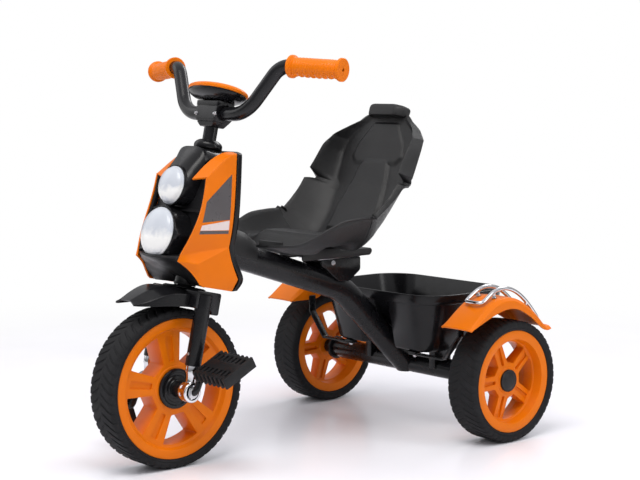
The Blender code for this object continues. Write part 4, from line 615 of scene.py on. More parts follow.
def make_rear_wheel(side, sign):
    """Tyre, spoked rim and a domed cap on the outer side."""
    where = TRIKE @ at(sign * HALF_TRACK, WHEELBASE, REAR_RADIUS)
    body = f"rear_wheel_{side}"
    make_tyre(f"rear_tyre_tread_{side}", body, where, 0.0859, REAR_RADIUS, 0.030, 48, 0.0009,
              f"rear_tyre_{side}")
    half = [(0.0135, 0.0055), (0.0135, 0.0200), (0.0127, 0.0215), (0.0115, 0.0224), (0.0085, 0.0640),
            (0.0120, 0.0680), (0.0262, 0.0706), (0.0265, 0.0714), (0.0265, 0.0849), (0.0259, 0.0856)]
    opening = window(0.0300, 0.0658, 0.0080, math.radians(36), 0.0020)
    groove = channel(0.0270, 0.0630, 0.0030, 0.00425)
    make_rim(f"rear_wheel_rim_{side}", body, where, half, 104, math.radians(38), opening, groove, 0.0062,
             f"rear_rim_{side}", 0.0008)
    dome = [(0.0, 0.0176), (0.0, 0.0186), (0.0026, 0.0186), (0.0034, 0.0178), (0.0030, 0.0150),
            (0.0044, 0.0128), (0.0052, 0.0090), (0.0056, 0.0030)]
    piece(f"hub_cover_rear_{side}", turned(facing(dome, sign, 0.0138), 'X', 48), where, body, "black_nylon",
          (f"hub_cap_{side}",), sharp=50.0)


make_front_wheel()
for side, sign in SIDES:
    make_rear_wheel(side, sign)


# Fairing

def leaning(y, z, tilt):
    """Frame on the middle plane whose Z axis looks forwards, tilted up by some degrees."""
    return TRIKE @ at(0, y, z) @ tipped(math.pi / 2 - math.radians(tilt))


LAMP_TILT = 15
LAMPS = (
    # name, frame, lens radius
    ("upper_lamp", leaning(0.0120, 0.4395, LAMP_TILT), 0.0304),
    ("lower_lamp", leaning(-0.0160, 0.3685, LAMP_TILT), 0.0395),
)
SHELL_LINES = (
    # down the left shell's outer skin: front edge, the crease behind it and rear edge
    ((0.0400, 0.0215, 0.4504), (0.0450, 0.0450, 0.4740), (0.0450, 0.0990, 0.4890)),
    ((0.0670, 0.0305, 0.4540), (0.0650, 0.0460, 0.4650), (0.0600, 0.0930, 0.4870)),
    ((0.0690, 0.0245, 0.4260), (0.0683, 0.0400, 0.4280), (0.0635, 0.0875, 0.4325)),
    ((0.0710, 0.0145, 0.3965), (0.0705, 0.0310, 0.3960), (0.0650, 0.0830, 0.3931)),
    ((0.0680, -0.0009, 0.3648), (0.0685, 0.0180, 0.3640), (0.0650, 0.0776, 0.3623)),
    ((0.0585, -0.0140, 0.3370), (0.0610, 0.0080, 0.3392), (0.0640, 0.0735, 0.3440)),
    ((0.0556, -0.0189, 0.3278), (0.0720, 0.0074, 0.3233), (0.0642, 0.0732, 0.3420)),
    ((0.0600, -0.0040, 0.3165), (0.0718, 0.0100, 0.3120), (0.0640, 0.0770, 0.3225)),
    ((0.0665, 0.0045, 0.3040), (0.0714, 0.0140, 0.2990), (0.0640, 0.0905, 0.2915)),
    ((0.0698, 0.0130, 0.2905), (0.0708, 0.0170, 0.2872), (0.0620, 0.0800, 0.2735)),
)
ROOF, VALLEY, STEP, BULGE = 1, 5, 6, 8      # lines that end on a crease or a corner
ROOF_SWELL = 0.0080
GRAPHICS = (
    # name, finish and (back, height) corners: top front, top back, low back and low front
    ("panel", "graphic_grey", ((0.0273, 0.4165), (0.0812, 0.4560), (0.0745, 0.3862), (0.0187, 0.3853))),
    ("pale_stripe", "graphic_silver",
     ((0.0180, 0.3808), (0.0735, 0.3850), (0.0722, 0.3700), (0.0152, 0.3733))),
    ("dark_stripe", "graphic_grey",
     ((0.0150, 0.3728), (0.0721, 0.3692), (0.0715, 0.3645), (0.0138, 0.3676))),
)


def shell_rows(sign):
    """Points across the shell for each of its lines, with the roof swelling between its edges."""
    rows = []
    for i, line in enumerate(SHELL_LINES):
        front, crease, rear = [Vector(point) for point in line]
        row = [front, crease]
        for share in (1 / 3, 2 / 3):
            swell = ROOF_SWELL * math.sin(math.pi * share) if i <= ROOF else 0.0
            row.append(crease.lerp(rear, share) + Vector((0, swell / 2, swell)))
        rows.append([Vector((sign * p.x, p.y, p.z)) for p in row + [rear]])
    return rows


def make_shell(side, sign):
    """Moulded skin from a coarse net, sharp along its roof, its step and its foot's corner."""
    rows = shell_rows(sign)
    creases = []
    for row, sharpness in ((ROOF, 0.95), (VALLEY, 0.55), (STEP, 0.95)):
        creases.append(([(row, column) for column in range(len(rows[row]))], sharpness))
    creases.append(([(row, 1) for row in range(STEP, len(rows))], 0.85))
    creases.append(([(row, 0) for row in range(ROOF + 1)], 1.0))
    corners = ((0, 0), (0, -1), (ROOF, 0), (STEP, 0), (BULGE, -1), (-1, 0), (-1, 1), (-1, -1))
    shell = moulded(f"shell_{side}", creased_sheet(rows, creases, corners), TRIKE, Vector((sign, 0, 0)))
    finish(shell, "frame", "orange_plastic", (f"fairing_shell_{side}",), edge=0.0005, sharp=48.0)
    return shell


def drape(name, shell, sign, corners, slot):
    """A thin film on a shell between four (back, height) corners."""
    steps = 16
    origin = TRIKE.translation
    lift = Vector((sign * 0.0002, 0, 0))
    top_front, top_back, low_back, low_front = [Vector(c) for c in corners]
    rows = []
    for i in range(steps + 1):
        front = top_front.lerp(low_front, i / steps)
        back = top_back.lerp(low_back, i / steps)
        row = []
        for k in range(steps + 1):
            y, z = front.lerp(back, k / steps)
            _, point, _, _ = shell.ray_cast((sign * 0.2, y + origin.y, z), (-sign, 0, 0))
            row.append(point + lift - origin)
        rows.append(row)
    piece(name, sheet(rows), TRIKE, "frame", slot, sharp=60.0)


def make_trim(side, sign):
    """Bevelled black strip just inside a shell's concave front edge."""
    front = [Vector(line[0]) for line in SHELL_LINES[ROOF:VALLEY + 1]]
    path = [Vector((sign * (p.x - 0.0052), p.y + 0.0030, p.z - 0.001)) for p in smooth_curve(front, 10)]
    section = [(0.0036, -0.0042), (0.0036, 0.0004), (0.0024, 0.0022), (-0.0010, 0.0026), (-0.0034, 0.0008),
               (-0.0038, -0.0042)]
    bm = tube(path, facing(section, sign), Vector((1, 0, 0)))
    piece(f"trim_{side}", bm, TRIKE, "frame", "black_gloss_plastic", edge=0.0005)


def octagon_share(angle, amount):
    """Radius factor that turns a circle towards an octagon with a corner on top."""
    eighth = math.pi / 4
    off = angle % eighth - eighth / 2
    return 1 - amount + amount * math.cos(eighth / 2) / math.cos(off) * 1.03


def squared_share(angle, amount):
    """Radius factor that turns a circle towards a square with round corners."""
    power = 2 + 2 * amount
    return (abs(math.cos(angle)) ** power + abs(math.sin(angle)) ** power) ** (-1 / power)


def hood(name, share, stations):
    """A lamp's hood: rings of (frame, half width, half height, amount of share), dished in front."""
    sides, dish = 96, 0.006
    mouth, radius, *_ = stations[0]
    rings = []
    for inset, drop in ((0.0020, -dish), (0.0016, 0.0)):
        rings.append([mouth @ p for p in ellipse(radius - inset, radius - inset, drop, sides)])
    for where, wide, high, amount in stations:
        points = []
        for angle in angles(sides, 0):
            reach = share(angle, amount)
            points.append(where @ Vector((wide * reach * math.cos(angle), high * reach * math.sin(angle), 0)))
        rings.append(points)
    body = new_object(name, skin(rings), Matrix())
    carve(body, STEERING, rod('Z', 0.15, 0.45, 0.0166, 48))
    finish(body, "frame", "black_gloss_plastic", edge=0.0004, sharp=16.0)


def make_hoods():
    """Squared hood that reaches up to the collar, over one with eight flats."""
    upper, lower = LAMPS[0][1], LAMPS[1][1]
    stations = [(upper, 0.0324, 0.0324, 0.0), (upper @ at(0, 0, -0.005), 0.0330, 0.0330, 0.0)]
    for y, z, tilt, wide, high, amount in (
            (0.0250, 0.4450, LAMP_TILT, 0.0350, 0.0380, 0.2), (0.0370, 0.4490, 12, 0.0372, 0.0440, 0.5),
            (0.0460, 0.4520, 6, 0.0382, 0.0470, 0.8), (0.0560, 0.4510, 0, 0.0386, 0.0458, 0.9),
            (0.0700, 0.4490, 0, 0.0386, 0.0440, 0.9), (0.0980, 0.4460, 0, 0.0384, 0.0416, 0.9)):
        stations.append((leaning(y, z, tilt), wide, high, amount))
    hood("upper_hood", squared_share, stations)
    stations = []
    for depth, radius, amount in ((0.0, 0.0416, 0.0), (0.003, 0.0420, 0.0), (0.006, 0.0436, 1.0),
                                  (0.028, 0.0446, 1.0), (0.050, 0.0455, 1.0)):
        stations.append((lower @ at(0, 0, -depth), radius, radius, amount))
    hood("lower_hood", octagon_share, stations)


def head_axis_y(z):
    """Distance back of the steering axis at a height."""
    return (z - FRONT_RADIUS) * math.tan(RAKE)


def make_core():
    """Chin, flat cheeks with their ledge, and the block behind the hoods."""
    sections = [
        # height, half width, front at the flank, front at the middle
        (0.2850, 0.0640, 0.0240, 0.0330),
        (0.2930, 0.0655, 0.0155, 0.0270),
        (0.3062, 0.0625, 0.0050, 0.0108),
        (0.3155, 0.0570, -0.0010, -0.0061),
        (0.3240, 0.0530, -0.0110, -0.0215),
        (0.3320, 0.0525, -0.0140, -0.0360),
        (0.3336, 0.0525, -0.0140, -0.0372),
        (0.3350, 0.0525, -0.0120, -0.0340),
        (0.3360, 0.0545, 0.0160, 0.0160),
        (0.3635, 0.0600, 0.0200, 0.0200),
        (0.3985, 0.0605, 0.0220, 0.0220),
        (0.4000, 0.0605, 0.0180, 0.0180),
        (0.4012, 0.0605, 0.0180, 0.0180),
        (0.4040, 0.0600, 0.0260, 0.0260),
        (0.4300, 0.0585, 0.0340, 0.0340),
        (0.4520, 0.0540, 0.0440, 0.0440),
    ]
    rings = []
    for z, half, flank, middle in sections:
        back = head_axis_y(z) + 0.004
        flank, middle = min(flank, back - 0.004), min(middle, back - 0.002)
        steps = 10
        front = []
        for k in range(-steps, steps + 1):
            share = abs(k) / steps
            front.append(Vector((half * k / steps, middle + (flank - middle) * share ** 1.5, z)))
        rings.append([Vector((half, back, z)), Vector((-half, back, z))] + front)
    core = new_object("nose_core", skin(rings), TRIKE)
    slots = []
    for x in (-0.0075, 0.0075):
        outline = [(-0.06, 0.28), (-0.06, 0.3280), (0.0325, 0.2950), (0.0325, 0.28)]
        slots.append(extrusion(outline, 'X', x - 0.0018, x + 0.0018))
    carve(core, TRIKE, *slots)
    finish(core, "frame", "black_nylon", ("fairing_nose",), edge=0.0006, sharp=24.0)


def make_fairing_back():
    """Plate behind the shells with a rounded top corner and a bevelled rim."""
    edge = [Vector(line[2]) for line in SHELL_LINES]
    rows = [tuple(p) for p in smooth_curve([edge[i] for i in (9, 8, 7, 5, 4, 3, 2, 1)], 6)]
    rows[-1] = (edge[1].x - 0.001, edge[1].y + 0.0004, edge[1].z - 0.0012)
    rows.append((edge[1].x - 0.004, edge[1].y + 0.0008, edge[1].z + 0.0006))
    rows.append((edge[0].x, edge[0].y - 0.004, edge[0].z + 0.0004))
    rings = []
    for half, front, z in rows:
        near = front + 0.0015
        far = near + 0.0100
        rings.append([Vector((half + 0.0006, near, z)), Vector((half - 0.0012, far, z)),
                      Vector((-half + 0.0012, far, z)), Vector((-half - 0.0006, near, z))])
    plate = new_object("back_plate", skin(rings), TRIKE)
    where = TRIKE @ at(0, 0.09, 0.3369) @ tipped(-TUBE_SLOPE)
    carve(plate, where, rod('Y', -0.08, 0.08, 0.0240, 40))
    carve(plate, STEERING, rod('Z', 0.30, 0.45, 0.0240, 40))
    finish(plate, "frame", "black_gloss_plastic", ("fairing_back",), edge=0.0008, sharp=30.0)


def make_lamps():
    """Domed lens over a dished reflector in each hood."""
    for name, where, radius in LAMPS:
        rim = radius - 0.0004
        dome = [(-0.0020, rim), (0.0004, rim), (0.0012, rim - 0.0005), (0.0015, rim - 0.0014)]
        for i in range(1, 15):
            angle = math.radians(90 * i / 15)
            dome.append((0.0013 + 0.0125 * math.sin(angle), (rim - 0.0016) * math.cos(angle)))
        piece(f"{name}_glass", turned(dome, 'Z', 96), where, "frame", "lamp_lens", (f"{name}_lens",),
              sharp=40.0)
        bowl = [(-0.0176, rim * 0.50), (-0.0110, rim * 0.76), (-0.0034, rim * 0.985), (-0.0024, rim * 0.985),
                (-0.0024, rim * 0.93), (-0.0090, rim * 0.72), (-0.0160, rim * 0.44), (-0.0168, rim * 0.10)]
        piece(f"{name}_bowl", turned(bowl, 'Z', 96), where, "frame", "lamp_reflector", (f"{name}_reflector",))


for side, sign in SIDES:
    shell = make_shell(side, sign)
    for name, slot, corners in GRAPHICS:
        drape(f"{name}_{side}", shell, sign, corners, slot)
    make_trim(side, sign)
make_core()
make_hoods()
make_fairing_back()
make_lamps()


# Seat

SEAT_BASE = 0.3025
SEAT_STATIONS = (
    # distance back, height, half width, wing height, and across the half width the shares where
    # the wing starts and where its ridge is, and the share of its height left at the outer edge
    (0.1520, 0.0375, 0.0620, 0.0010, 0.60, 0.97, 0.96),
    (0.1640, 0.0345, 0.0820, 0.0040, 0.60, 0.97, 0.96),
    (0.1850, 0.0275, 0.1010, 0.0140, 0.62, 0.97, 0.96),
    (0.2100, 0.0235, 0.1140, 0.0310, 0.62, 0.97, 0.96),
    (0.2360, 0.0215, 0.1200, 0.0450, 0.62, 0.97, 0.96),
    (0.2620, 0.0205, 0.1220, 0.0545, 0.62, 0.97, 0.96),
    (0.3000, 0.0205, 0.1225, 0.0580, 0.60, 0.97, 0.95),
    (0.3340, 0.0225, 0.1220, 0.0575, 0.56, 0.97, 0.94),
    (0.3600, 0.0325, 0.1215, 0.0560, 0.52, 0.96, 0.92),
    (0.3770, 0.0475, 0.1210, 0.0540, 0.52, 0.955, 0.88),
    (0.3970, 0.0715, 0.1225, 0.0510, 0.54, 0.95, 0.82),
    (0.4190, 0.1065, 0.1265, 0.0430, 0.58, 0.94, 0.76),
    (0.4225, 0.1130, 0.1200, 0.0250, 0.58, 0.94, 0.80),
    (0.4270, 0.1205, 0.1200, 0.0250, 0.62, 0.92, 0.70),
    (0.4305, 0.1270, 0.1245, 0.0460, 0.68, 0.900, 0.48),
    (0.4500, 0.1725, 0.1195, 0.0380, 0.76, 0.890, 0.45),
    (0.4580, 0.1935, 0.1140, 0.0270, 0.74, 0.880, 0.45),
    (0.4650, 0.2115, 0.0930, 0.0150, 0.70, 0.870, 0.45),
    (0.4710, 0.2265, 0.0660, 0.0065, 0.66, 0.860, 0.50),
    (0.4750, 0.2375, 0.0500, 0.0030, 0.62, 0.860, 0.60),
)
SEAT_PARTING = 7
NOTCH = (11, 14)                # stations below and above the wings' notch
SEAT_SKIN = 0.004
SEAT_GAP = 0.0006               # between the back and its neighbours
SEAT_PANELS = (
    # raised panels of the back: outline of (side, height), rise and width of the bevel
    (((0.030, 0.5275), (-0.030, 0.5275), (-0.056, 0.4920), (-0.063, 0.4680), (-0.050, 0.4560),
      (0.050, 0.4560), (0.063, 0.4680), (0.056, 0.4920)), 0.0030, 0.0035),
    (((0.0270, 0.4640), (-0.0270, 0.4640), (-0.0370, 0.4530), (-0.0530, 0.3860), (-0.0500, 0.3440),
      (0.0500, 0.3440), (0.0530, 0.3860), (0.0370, 0.4530)), 0.0055, 0.0040),
)
PAN_RIDGE_Y = 0.2505
PAN_RISE = 0.0235


def raised(outline, rise, bevel, x, z):
    """Height over a convex outline with bevelled edges."""
    nearest = 1.0
    for (ax, az), (bx, bz) in zip(outline, outline[1:] + outline[:1]):
        length = math.hypot(bx - ax, bz - az)
        inside = ((bx - ax) * (z - az) - (bz - az) * (x - ax)) / length
        nearest = min(nearest, inside)
    return rise * min(1.0, max(0.0, nearest / bevel))


def wing_share(share, foot, ridge, left, steep):
    """Share of the wing's height at a share of the half width: up to the ridge, then a chamfer."""
    if share <= foot:
        return 0.0
    if share <= ridge:
        return ((share - foot) / (ridge - foot)) ** steep
    return 1 + (left - 1) * (share - ridge) / (1 - ridge)


def seat_relief(x, y, z, section):
    """Height of the back's raised panels, or of the pan's raised floor with its two steps."""
    if section >= SEAT_PARTING:
        return max(raised(outline, rise, bevel, x, z) for outline, rise, bevel in SEAT_PANELS)
    across = 1 - bend(0.074, 0.106, abs(x))
    along = bend(0.228, 0.250, y) * (1 - bend(0.275, 0.328, y))
    step = 0.0045 * bend(PAN_RIDGE_Y - 0.0025, PAN_RIDGE_Y, y) * (1 - bend(0.068, 0.074, abs(x)))
    second = 0.0025 * bend(0.2795, 0.2815, y) * (1 - bend(0.060, 0.066, abs(x)))
    return across * along * (PAN_RISE + step + second)


def seat_centre(per_span):
    """Smooth centre line; the notch's close stations only share out one span of it."""
    even = SEAT_STATIONS[:NOTCH[0] + 1] + SEAT_STATIONS[NOTCH[1]:]
    fine = 40
    curve = smooth_curve([Vector((0, y, SEAT_BASE + z)) for y, z, *_ in even], fine)
    spans = NOTCH[1] - NOTCH[0]
    places = []
    for i in range((len(SEAT_STATIONS) - 1) * per_span + 1):
        place = i / per_span
        if place > NOTCH[1]:
            place -= spans - 1
        elif place > NOTCH[0]:
            place = NOTCH[0] + (place - NOTCH[0]) / spans
        low = min(int(place * fine), len(curve) - 2)
        places.append(curve[low].lerp(curve[low + 1], place * fine - low))
    return places


def seat_grid(first, last, per_span):
    """Rows of surface points from one station to another, fine enough for the relief."""
    centre = seat_centre(per_span)
    shape = smooth_curve([Vector((half, wing)) for _, _, half, wing, *_ in SEAT_STATIONS[:SEAT_PARTING + 3]],
                         per_span)
    rows = []
    columns = 44
    for i in range(first * per_span, last * per_span + 1):
        station, part = divmod(i, per_span)
        part /= per_span
        here = SEAT_STATIONS[station]
        after = SEAT_STATIONS[min(station + 1, len(SEAT_STATIONS) - 1)]
        half, wing, foot, ridge, left = [a + (b - a) * part for a, b in zip(here[2:], after[2:])]
        if station < SEAT_PARTING + 2:
            half, wing = shape[i]
        run = (centre[min(i + 1, len(centre) - 1)] - centre[max(i - 1, 0)]).normalized()
        up = Vector((0, -run.z, run.y))
        steep = 2.4 - 0.9 * bend(SEAT_PARTING - 2, SEAT_PARTING, i / per_span)
        row = []
        for k in range(-columns, columns + 1):
            share = abs(k) / columns
            share = share * (1.12 - 0.12 * share)
            x = math.copysign(half * share, k)
            height = wing * wing_share(share, foot, ridge, left, steep)
            height += seat_relief(x, centre[i].y, centre[i].z, station)
            row.append(centre[i] + Vector((x, 0, 0)) + up * height)
        rows.append(row)
    return rows


def make_seat_shell(name, rows, node, *cutters):
    """Skin with its thickness behind the sat-on face."""
    shell = new_object(name, sheet(rows), TRIKE)
    middle = shell.data.polygons[len(shell.data.polygons) // 2]
    towards = 1.0 if middle.normal.z - middle.normal.y > 0 else -1.0
    modify(shell, 'SOLIDIFY', thickness=SEAT_SKIN, offset=-towards, use_even_offset=False)
    settle(shell)
    if cutters:
        carve(shell, TRIKE, *cutters)
    finish(shell, "seat", "black_satin_plastic", (node,), edge=0.0011, sharp=50.0)


def make_seat():
    """Notched pan, back and headrest."""
    notch = rounded([(-0.0335, 0.10), (0.0335, 0.10), (0.0335, 0.2325), (-0.0335, 0.2325)], 0.007, 5)
    pan = seat_grid(0, SEAT_PARTING, 14)
    make_seat_shell("pan_shell", pan, "seat_pan", extrusion(notch, 'Z', 0.24, 0.45))
    back = seat_grid(SEAT_PARTING, len(SEAT_STATIONS) - 1, 14)
    back[0] = [p + Vector((0, SEAT_GAP, 0)) for p in back[0]]
    make_seat_shell("back_shell", back, "seat_back")
    make_headrest()


def make_headrest():
    """Padded block with rounded ends and a crease round its crown."""
    before, top = SEAT_STATIONS[-2:]
    lean = math.atan2(top[0] - before[0], top[1] - before[1])
    crown = SEAT_BASE + top[1] + SEAT_GAP
    foot = TRIKE @ at(0, top[0], crown) @ tipped(-lean)
    rings = []
    for height, share in ((-0.0050, 0.90), (-0.0040, 0.955), (-0.001, 0.985), (0.0060, 1.0), (0.0095, 0.995),
                          (0.0115, 0.975), (0.0135, 0.93), (0.0146, 0.85), (0.0148, 0.60)):
        half, deep = 0.0455 * share, 0.0140 * share
        plan = rounded([(half, -deep * 0.10), (half, deep), (-half, deep), (-half, -deep * 0.10),
                        (-half * 0.70, -deep), (half * 0.70, -deep)], 0.0065, 6)
        rings.append([Vector((a, b - 0.006, height)) for a, b in plan])
    piece("head_pad", skin(rings), foot, "seat", "black_satin_plastic", ("headrest",), sharp=24.0)


def make_seat_base():
    """Slider, rail, bracket with a bolt on each side, and the lever in the pan's notch."""
    rail = SEAT_BASE + 0.0003
    outline = [(0.252, rail + 0.0015), (0.403, rail + 0.0015), (0.407, rail + 0.0055), (0.408, rail + 0.0095),
               (0.405, 0.3165), (0.336, 0.3165), (0.332, 0.3215), (0.252, 0.3215)]
    slider = new_object("slider_block", extrusion(rounded(outline, 0.003, 3), 'X', -0.030, 0.030), TRIKE)
    carve(slider, TRIKE, block((-0.027, 0.20, 0.25), (0.027, 0.404, rail + 0.0083)))
    finish(slider, "seat", "black_satin_plastic", ("seat_slider",), edge=0.0008)
    inner = 0.0216
    outer = inner + 0.003
    foot = 0.2620
    outline = rounded([(0.298, SEAT_BASE), (0.298, SEAT_BASE - 0.010), (0.310, SEAT_BASE - 0.0165),
                       (0.336, foot + 0.002), (0.360, foot), (0.386, foot + 0.018),
                       (0.386, SEAT_BASE)], 0.004, 4)
    bracket = new_object("bracket_fold", extrusion(outline, 'X', -outer, outer), TRIKE)
    carve(bracket, TRIKE, block((-inner, 0.24, 0.20), (inner, 0.44, SEAT_BASE - 0.003)))
    finish(bracket, "frame", "painted_steel", ("seat_bracket",), edge=0.0009)
    for side, sign in SIDES:
        where = TRIKE @ at(sign * outer, 0.3235, 0.2960)
        bolt_head(f"bracket_bolt_{side}", where, 'X', sign, 0.0030, "frame")
    low, high = Vector((-0.0266, 0.290, rail)), Vector((0.0266, 0.384, rail + 0.008))
    piece("rail_strip", block(low, high), TRIKE, "frame", "zinc_steel", ("seat_rail",), edge=0.0012)
    pivot = TRIKE @ at(0, 0.226, 0.3222)
    barrel = 0.0057
    turns = [math.radians(a) for a in range(-90, 91, 12)]
    outline = [(-0.019, 0.0015)] + [(barrel * math.cos(a), barrel * math.sin(a)) for a in turns]
    outline += [(-0.0135, 0.0045), (-0.015, 0.0165), (-0.019, 0.0165)]
    lever = new_object("lever_plate", extrusion(outline, 'X', -0.029, 0.029), pivot)
    carve(lever, pivot, rod('X', -0.0327, 0.0327, 0.0022, 24), operation='UNION')
    finish(lever, "seat_lever_body", "black_satin_plastic", ("seat_lever",), edge=0.0007)


def bolt_head(name, where, axis, sign, radius, body):
    """Low dome with a washer and a hex socket."""
    profile = [(-0.0004, radius * 1.35), (0.0008, radius * 1.35), (0.0010, radius * 1.30), (0.0010, radius),
               (0.0026, radius * 0.96), (0.0036, radius * 0.80), (0.0040, radius * 0.50)]
    head = new_object(name, turned(facing(profile, sign), axis, 32), where)
    carve(head, where, rod(axis, sign * 0.0018, sign * 0.01, radius * 0.42, 6))
    finish(head, body, "zinc_steel", edge=0.0002)


make_seat()
make_seat_base()


# Handlebar, dash, clamp and grips

BAR_RADIUS = 0.011
BAR_Y, BAR_Z = 0.003, 0.434
GRIP_Z = 0.512
GRIP_LENGTH = 0.093
COLUMN_RADIUS = 0.011
SLIDING_FIT = 0.0003


def bar_path():
    """Centre line of the handlebar, from the right end to the left."""
    steps = 10
    half = [(0, BAR_Y, BAR_Z), (0.0775, BAR_Y, BAR_Z), (0.1305, 0.0125, GRIP_Z), (0.234, 0.0435, GRIP_Z)]
    left = filleted(half[:3], 0.056, steps)[1:-1] + filleted(half[1:], 0.034, steps)[1:]
    return [Vector((-p.x, p.y, p.z)) for p in left[::-1]] + left


def make_handlebar():
    """Bent tube, open at both ends."""
    path = bar_path()
    across = Vector((0, 1, 0))
    bar = new_object("bar_tube", tube(path, round_section(BAR_RADIUS, 40), across), STEERING)
    bores = []
    for end, inner in ((path[0], path[1]), (path[-1], path[-2])):
        run = (end - inner).normalized()
        bores.append(tube([end - run * 0.03, end + run * 0.01], round_section(0.009, 32), across))
    carve(bar, STEERING, *bores)
    finish(bar, "steering", "painted_steel", ("handlebar",), edge=0.0004, sharp=40.0)


def grip_radius(along, angle):
    """Sleeve radius: flanges, an oval panel and waved finger grooves below."""
    low, high = 0.0045, GRIP_LENGTH - 0.0045
    flange = 0.0177
    body = 0.0136 + 0.0010 * math.sin(math.pi * along / GRIP_LENGTH)
    if along < low or along > high:
        return flange
    blend_in = bend(low, low + 0.0035, along) * (1 - bend(high - 0.0035, high, along))
    centre = along / GRIP_LENGTH - 0.5
    oval = (centre / 0.36) ** 2 + (math.sin(angle) / 0.62) ** 2
    if math.cos(angle) > 0:
        waves = 0.00030 * math.cos(2 * math.pi * along / 0.0052) * bend(0.15, 0.45, abs(math.sin(angle)))
        waves *= bend(1.0, 1.15, oval)
        body -= 0.0007 * (1 - bend(0.85, 1.0, oval))
    else:
        waves = 0.0009 * math.cos(2 * math.pi * along / 0.0104)
    return flange + (body + waves - flange) * blend_in


def make_grip(side, sign):
    """Sleeve with a bored end over the bar's end."""
    path = bar_path()[::sign]
    end = path[-1]
    outward = (end - path[-2]).normalized()
    place = STEERING @ Matrix.Translation(end) @ outward.to_track_quat('Z', 'Y').to_matrix().to_4x4()
    upward = (place.inverted().to_3x3() @ Vector((0.35, -0.35, 0.87))).normalized()
    turn = math.atan2(upward.y, upward.x)
    start = 0.004 - GRIP_LENGTH
    sides = 96
    edges = [0.0, 0.0008, 0.0044, 0.0046]
    between = [a for a in (0.0060 + k * 0.00065 for k in range(125)) if a < GRIP_LENGTH - edges[-1]]
    rings = []
    for along in edges + between + [GRIP_LENGTH - a for a in edges[::-1]]:
        chamfer = 0.0008 if along in (0.0, GRIP_LENGTH) else 0.0
        points = []
        for angle in angles(sides, 0):
            radius = grip_radius(along, angle - turn) - chamfer
            points.append(Vector((radius * math.cos(angle), radius * math.sin(angle), start + along)))
        rings.append(points)
    bore, hole = BAR_RADIUS + SLIDING_FIT, 0.003
    for along, radius in ((0.004, hole), (0.0006, hole), (0.0006, bore), (start, bore)):
        rings.append(ellipse(radius, radius, along, sides))
    bm = skin(rings, around=True)
    piece(f"grip_sleeve_{side}", bm, place, "steering", "orange_plastic", (f"grip_{side}",), sharp=40.0)


def make_clamp():
    """Body and cap round the bar, parted by a seam, with two bolts in front."""
    bottom, top, front, back, half = 0.4115, 0.4520, -0.0155, 0.0175, 0.0275
    parting = BAR_Y - SLIDING_FIT

    def formed(name, profile):
        """Draw a profile across, tapered towards its foot, and bore it for the bar."""
        rings = []
        for k in (-1, -0.94, -0.8, 0.8, 0.94, 1):
            pinch = 0.9872 if abs(k) == 1 else 1.0
            points = []
            for y, z in rounded(profile, 0.0015, 3):
                taper = min(1.0, 0.56 + 0.44 * (z - bottom) / 0.0145)
                points.append(Vector((k * half * taper, y * pinch, z)))
            rings.append(points)
        obj = new_object(name, skin(rings), STEERING)
        carve(obj, STEERING, rod('X', -0.05, 0.05, BAR_RADIUS + SLIDING_FIT, 48, (0, BAR_Y, BAR_Z)))
        return obj

    body = formed("clamp_block", [(-0.0112, bottom), (0.0125, bottom), (back, 0.4235), (back, top),
                                  (BAR_Y, top), (BAR_Y, 0.4190), (-0.0142, 0.4190)])
    cap = formed("clamp_shield", [(-0.0144, 0.4193), (parting, 0.4193), (parting, top), (front, top),
                                  (front, 0.4230)])
    carve(cap, STEERING, block((-0.05, -0.05, 0.4432), (0.05, front + 0.0010, 0.4443)))
    finish(body, "steering", "painted_steel", ("clamp_body",), edge=0.0008, sharp=30.0)
    finish(cap, "steering", "painted_steel", ("clamp_cap",), edge=0.0005, sharp=30.0)
    for side, sign in SIDES:
        where = STEERING @ at(sign * 0.0240, front + 0.0004, 0.4310)
        bolt_head(f"clamp_bolt_{side}", where, 'Y', -1, 0.0022, "steering")


def make_column():
    """Open tube from the fork's crown up into the clamp."""
    outer, inner = COLUMN_RADIUS, 0.0085
    profile = [(0.144, inner), (0.144, outer), (0.416, outer), (0.417, outer - 0.001), (0.417, inner)]
    piece("column_tube", ring(profile, 'Z', 48), STEERING, "steering", "painted_steel", ("steering_column",),
          sharp=40.0)


def make_dash():
    """Bowl under an orange bezel with a raised rim and a sunken face with four slots."""
    pod = STEERING @ at(0, 0.001, 0.4648) @ tipped(-math.radians(9.5))
    wide, deep, sides = 0.060, 0.037, 96
    drops = smooth_curve([(0.0, 1.0), (0.0025, 0.985), (0.006, 0.91), (0.0098, 0.75), (0.0127, 0.50)], 5)
    bowl = [ellipse(wide * share, deep * share, -drop, sides) for drop, share in drops]
    piece("dash_bowl", skin(bowl), pod, "steering", "black_gloss_plastic", ("dash_housing",), sharp=40.0)
    face = [
        # height, shares of the width and of the depth
        (0.0003, 0.99, 0.985), (0.0010, 1.015, 1.02), (0.0042, 1.03, 1.04), (0.0060, 1.01, 1.015),
        (0.0080, 0.95, 0.94), (0.0092, 0.89, 0.86), (0.0100, 0.76, 0.72), (0.0094, 0.73, 0.68),
        (0.0058, 0.70, 0.64), (0.0052, 0.60, 0.52)]
    bezel = new_object("dash_cover", skin([ellipse(wide * w, deep * d, h, sides) for h, w, d in face]), pod)
    slots = []
    for x in (-0.012, -0.004, 0.004, 0.012):
        slots.append(block((x - 0.0014, -0.012, 0.0040), (x + 0.0014, 0.012, 0.02)))
    carve(bezel, pod, *slots)
    finish(bezel, "steering", "orange_plastic", ("dash_bezel",), edge=0.0004, sharp=40.0)


make_handlebar()
for side, sign in SIDES:
    make_grip(side, sign)
make_clamp()
make_column()
make_dash()


# Fork, crank and pedals

LEG_OFFSET = 0.0555
AXLE_HOLE = 0.0059
PIN_ANGLE = math.radians(66)
PIN_ARM = 0.0455
CRANK_RADIUS = 0.0055


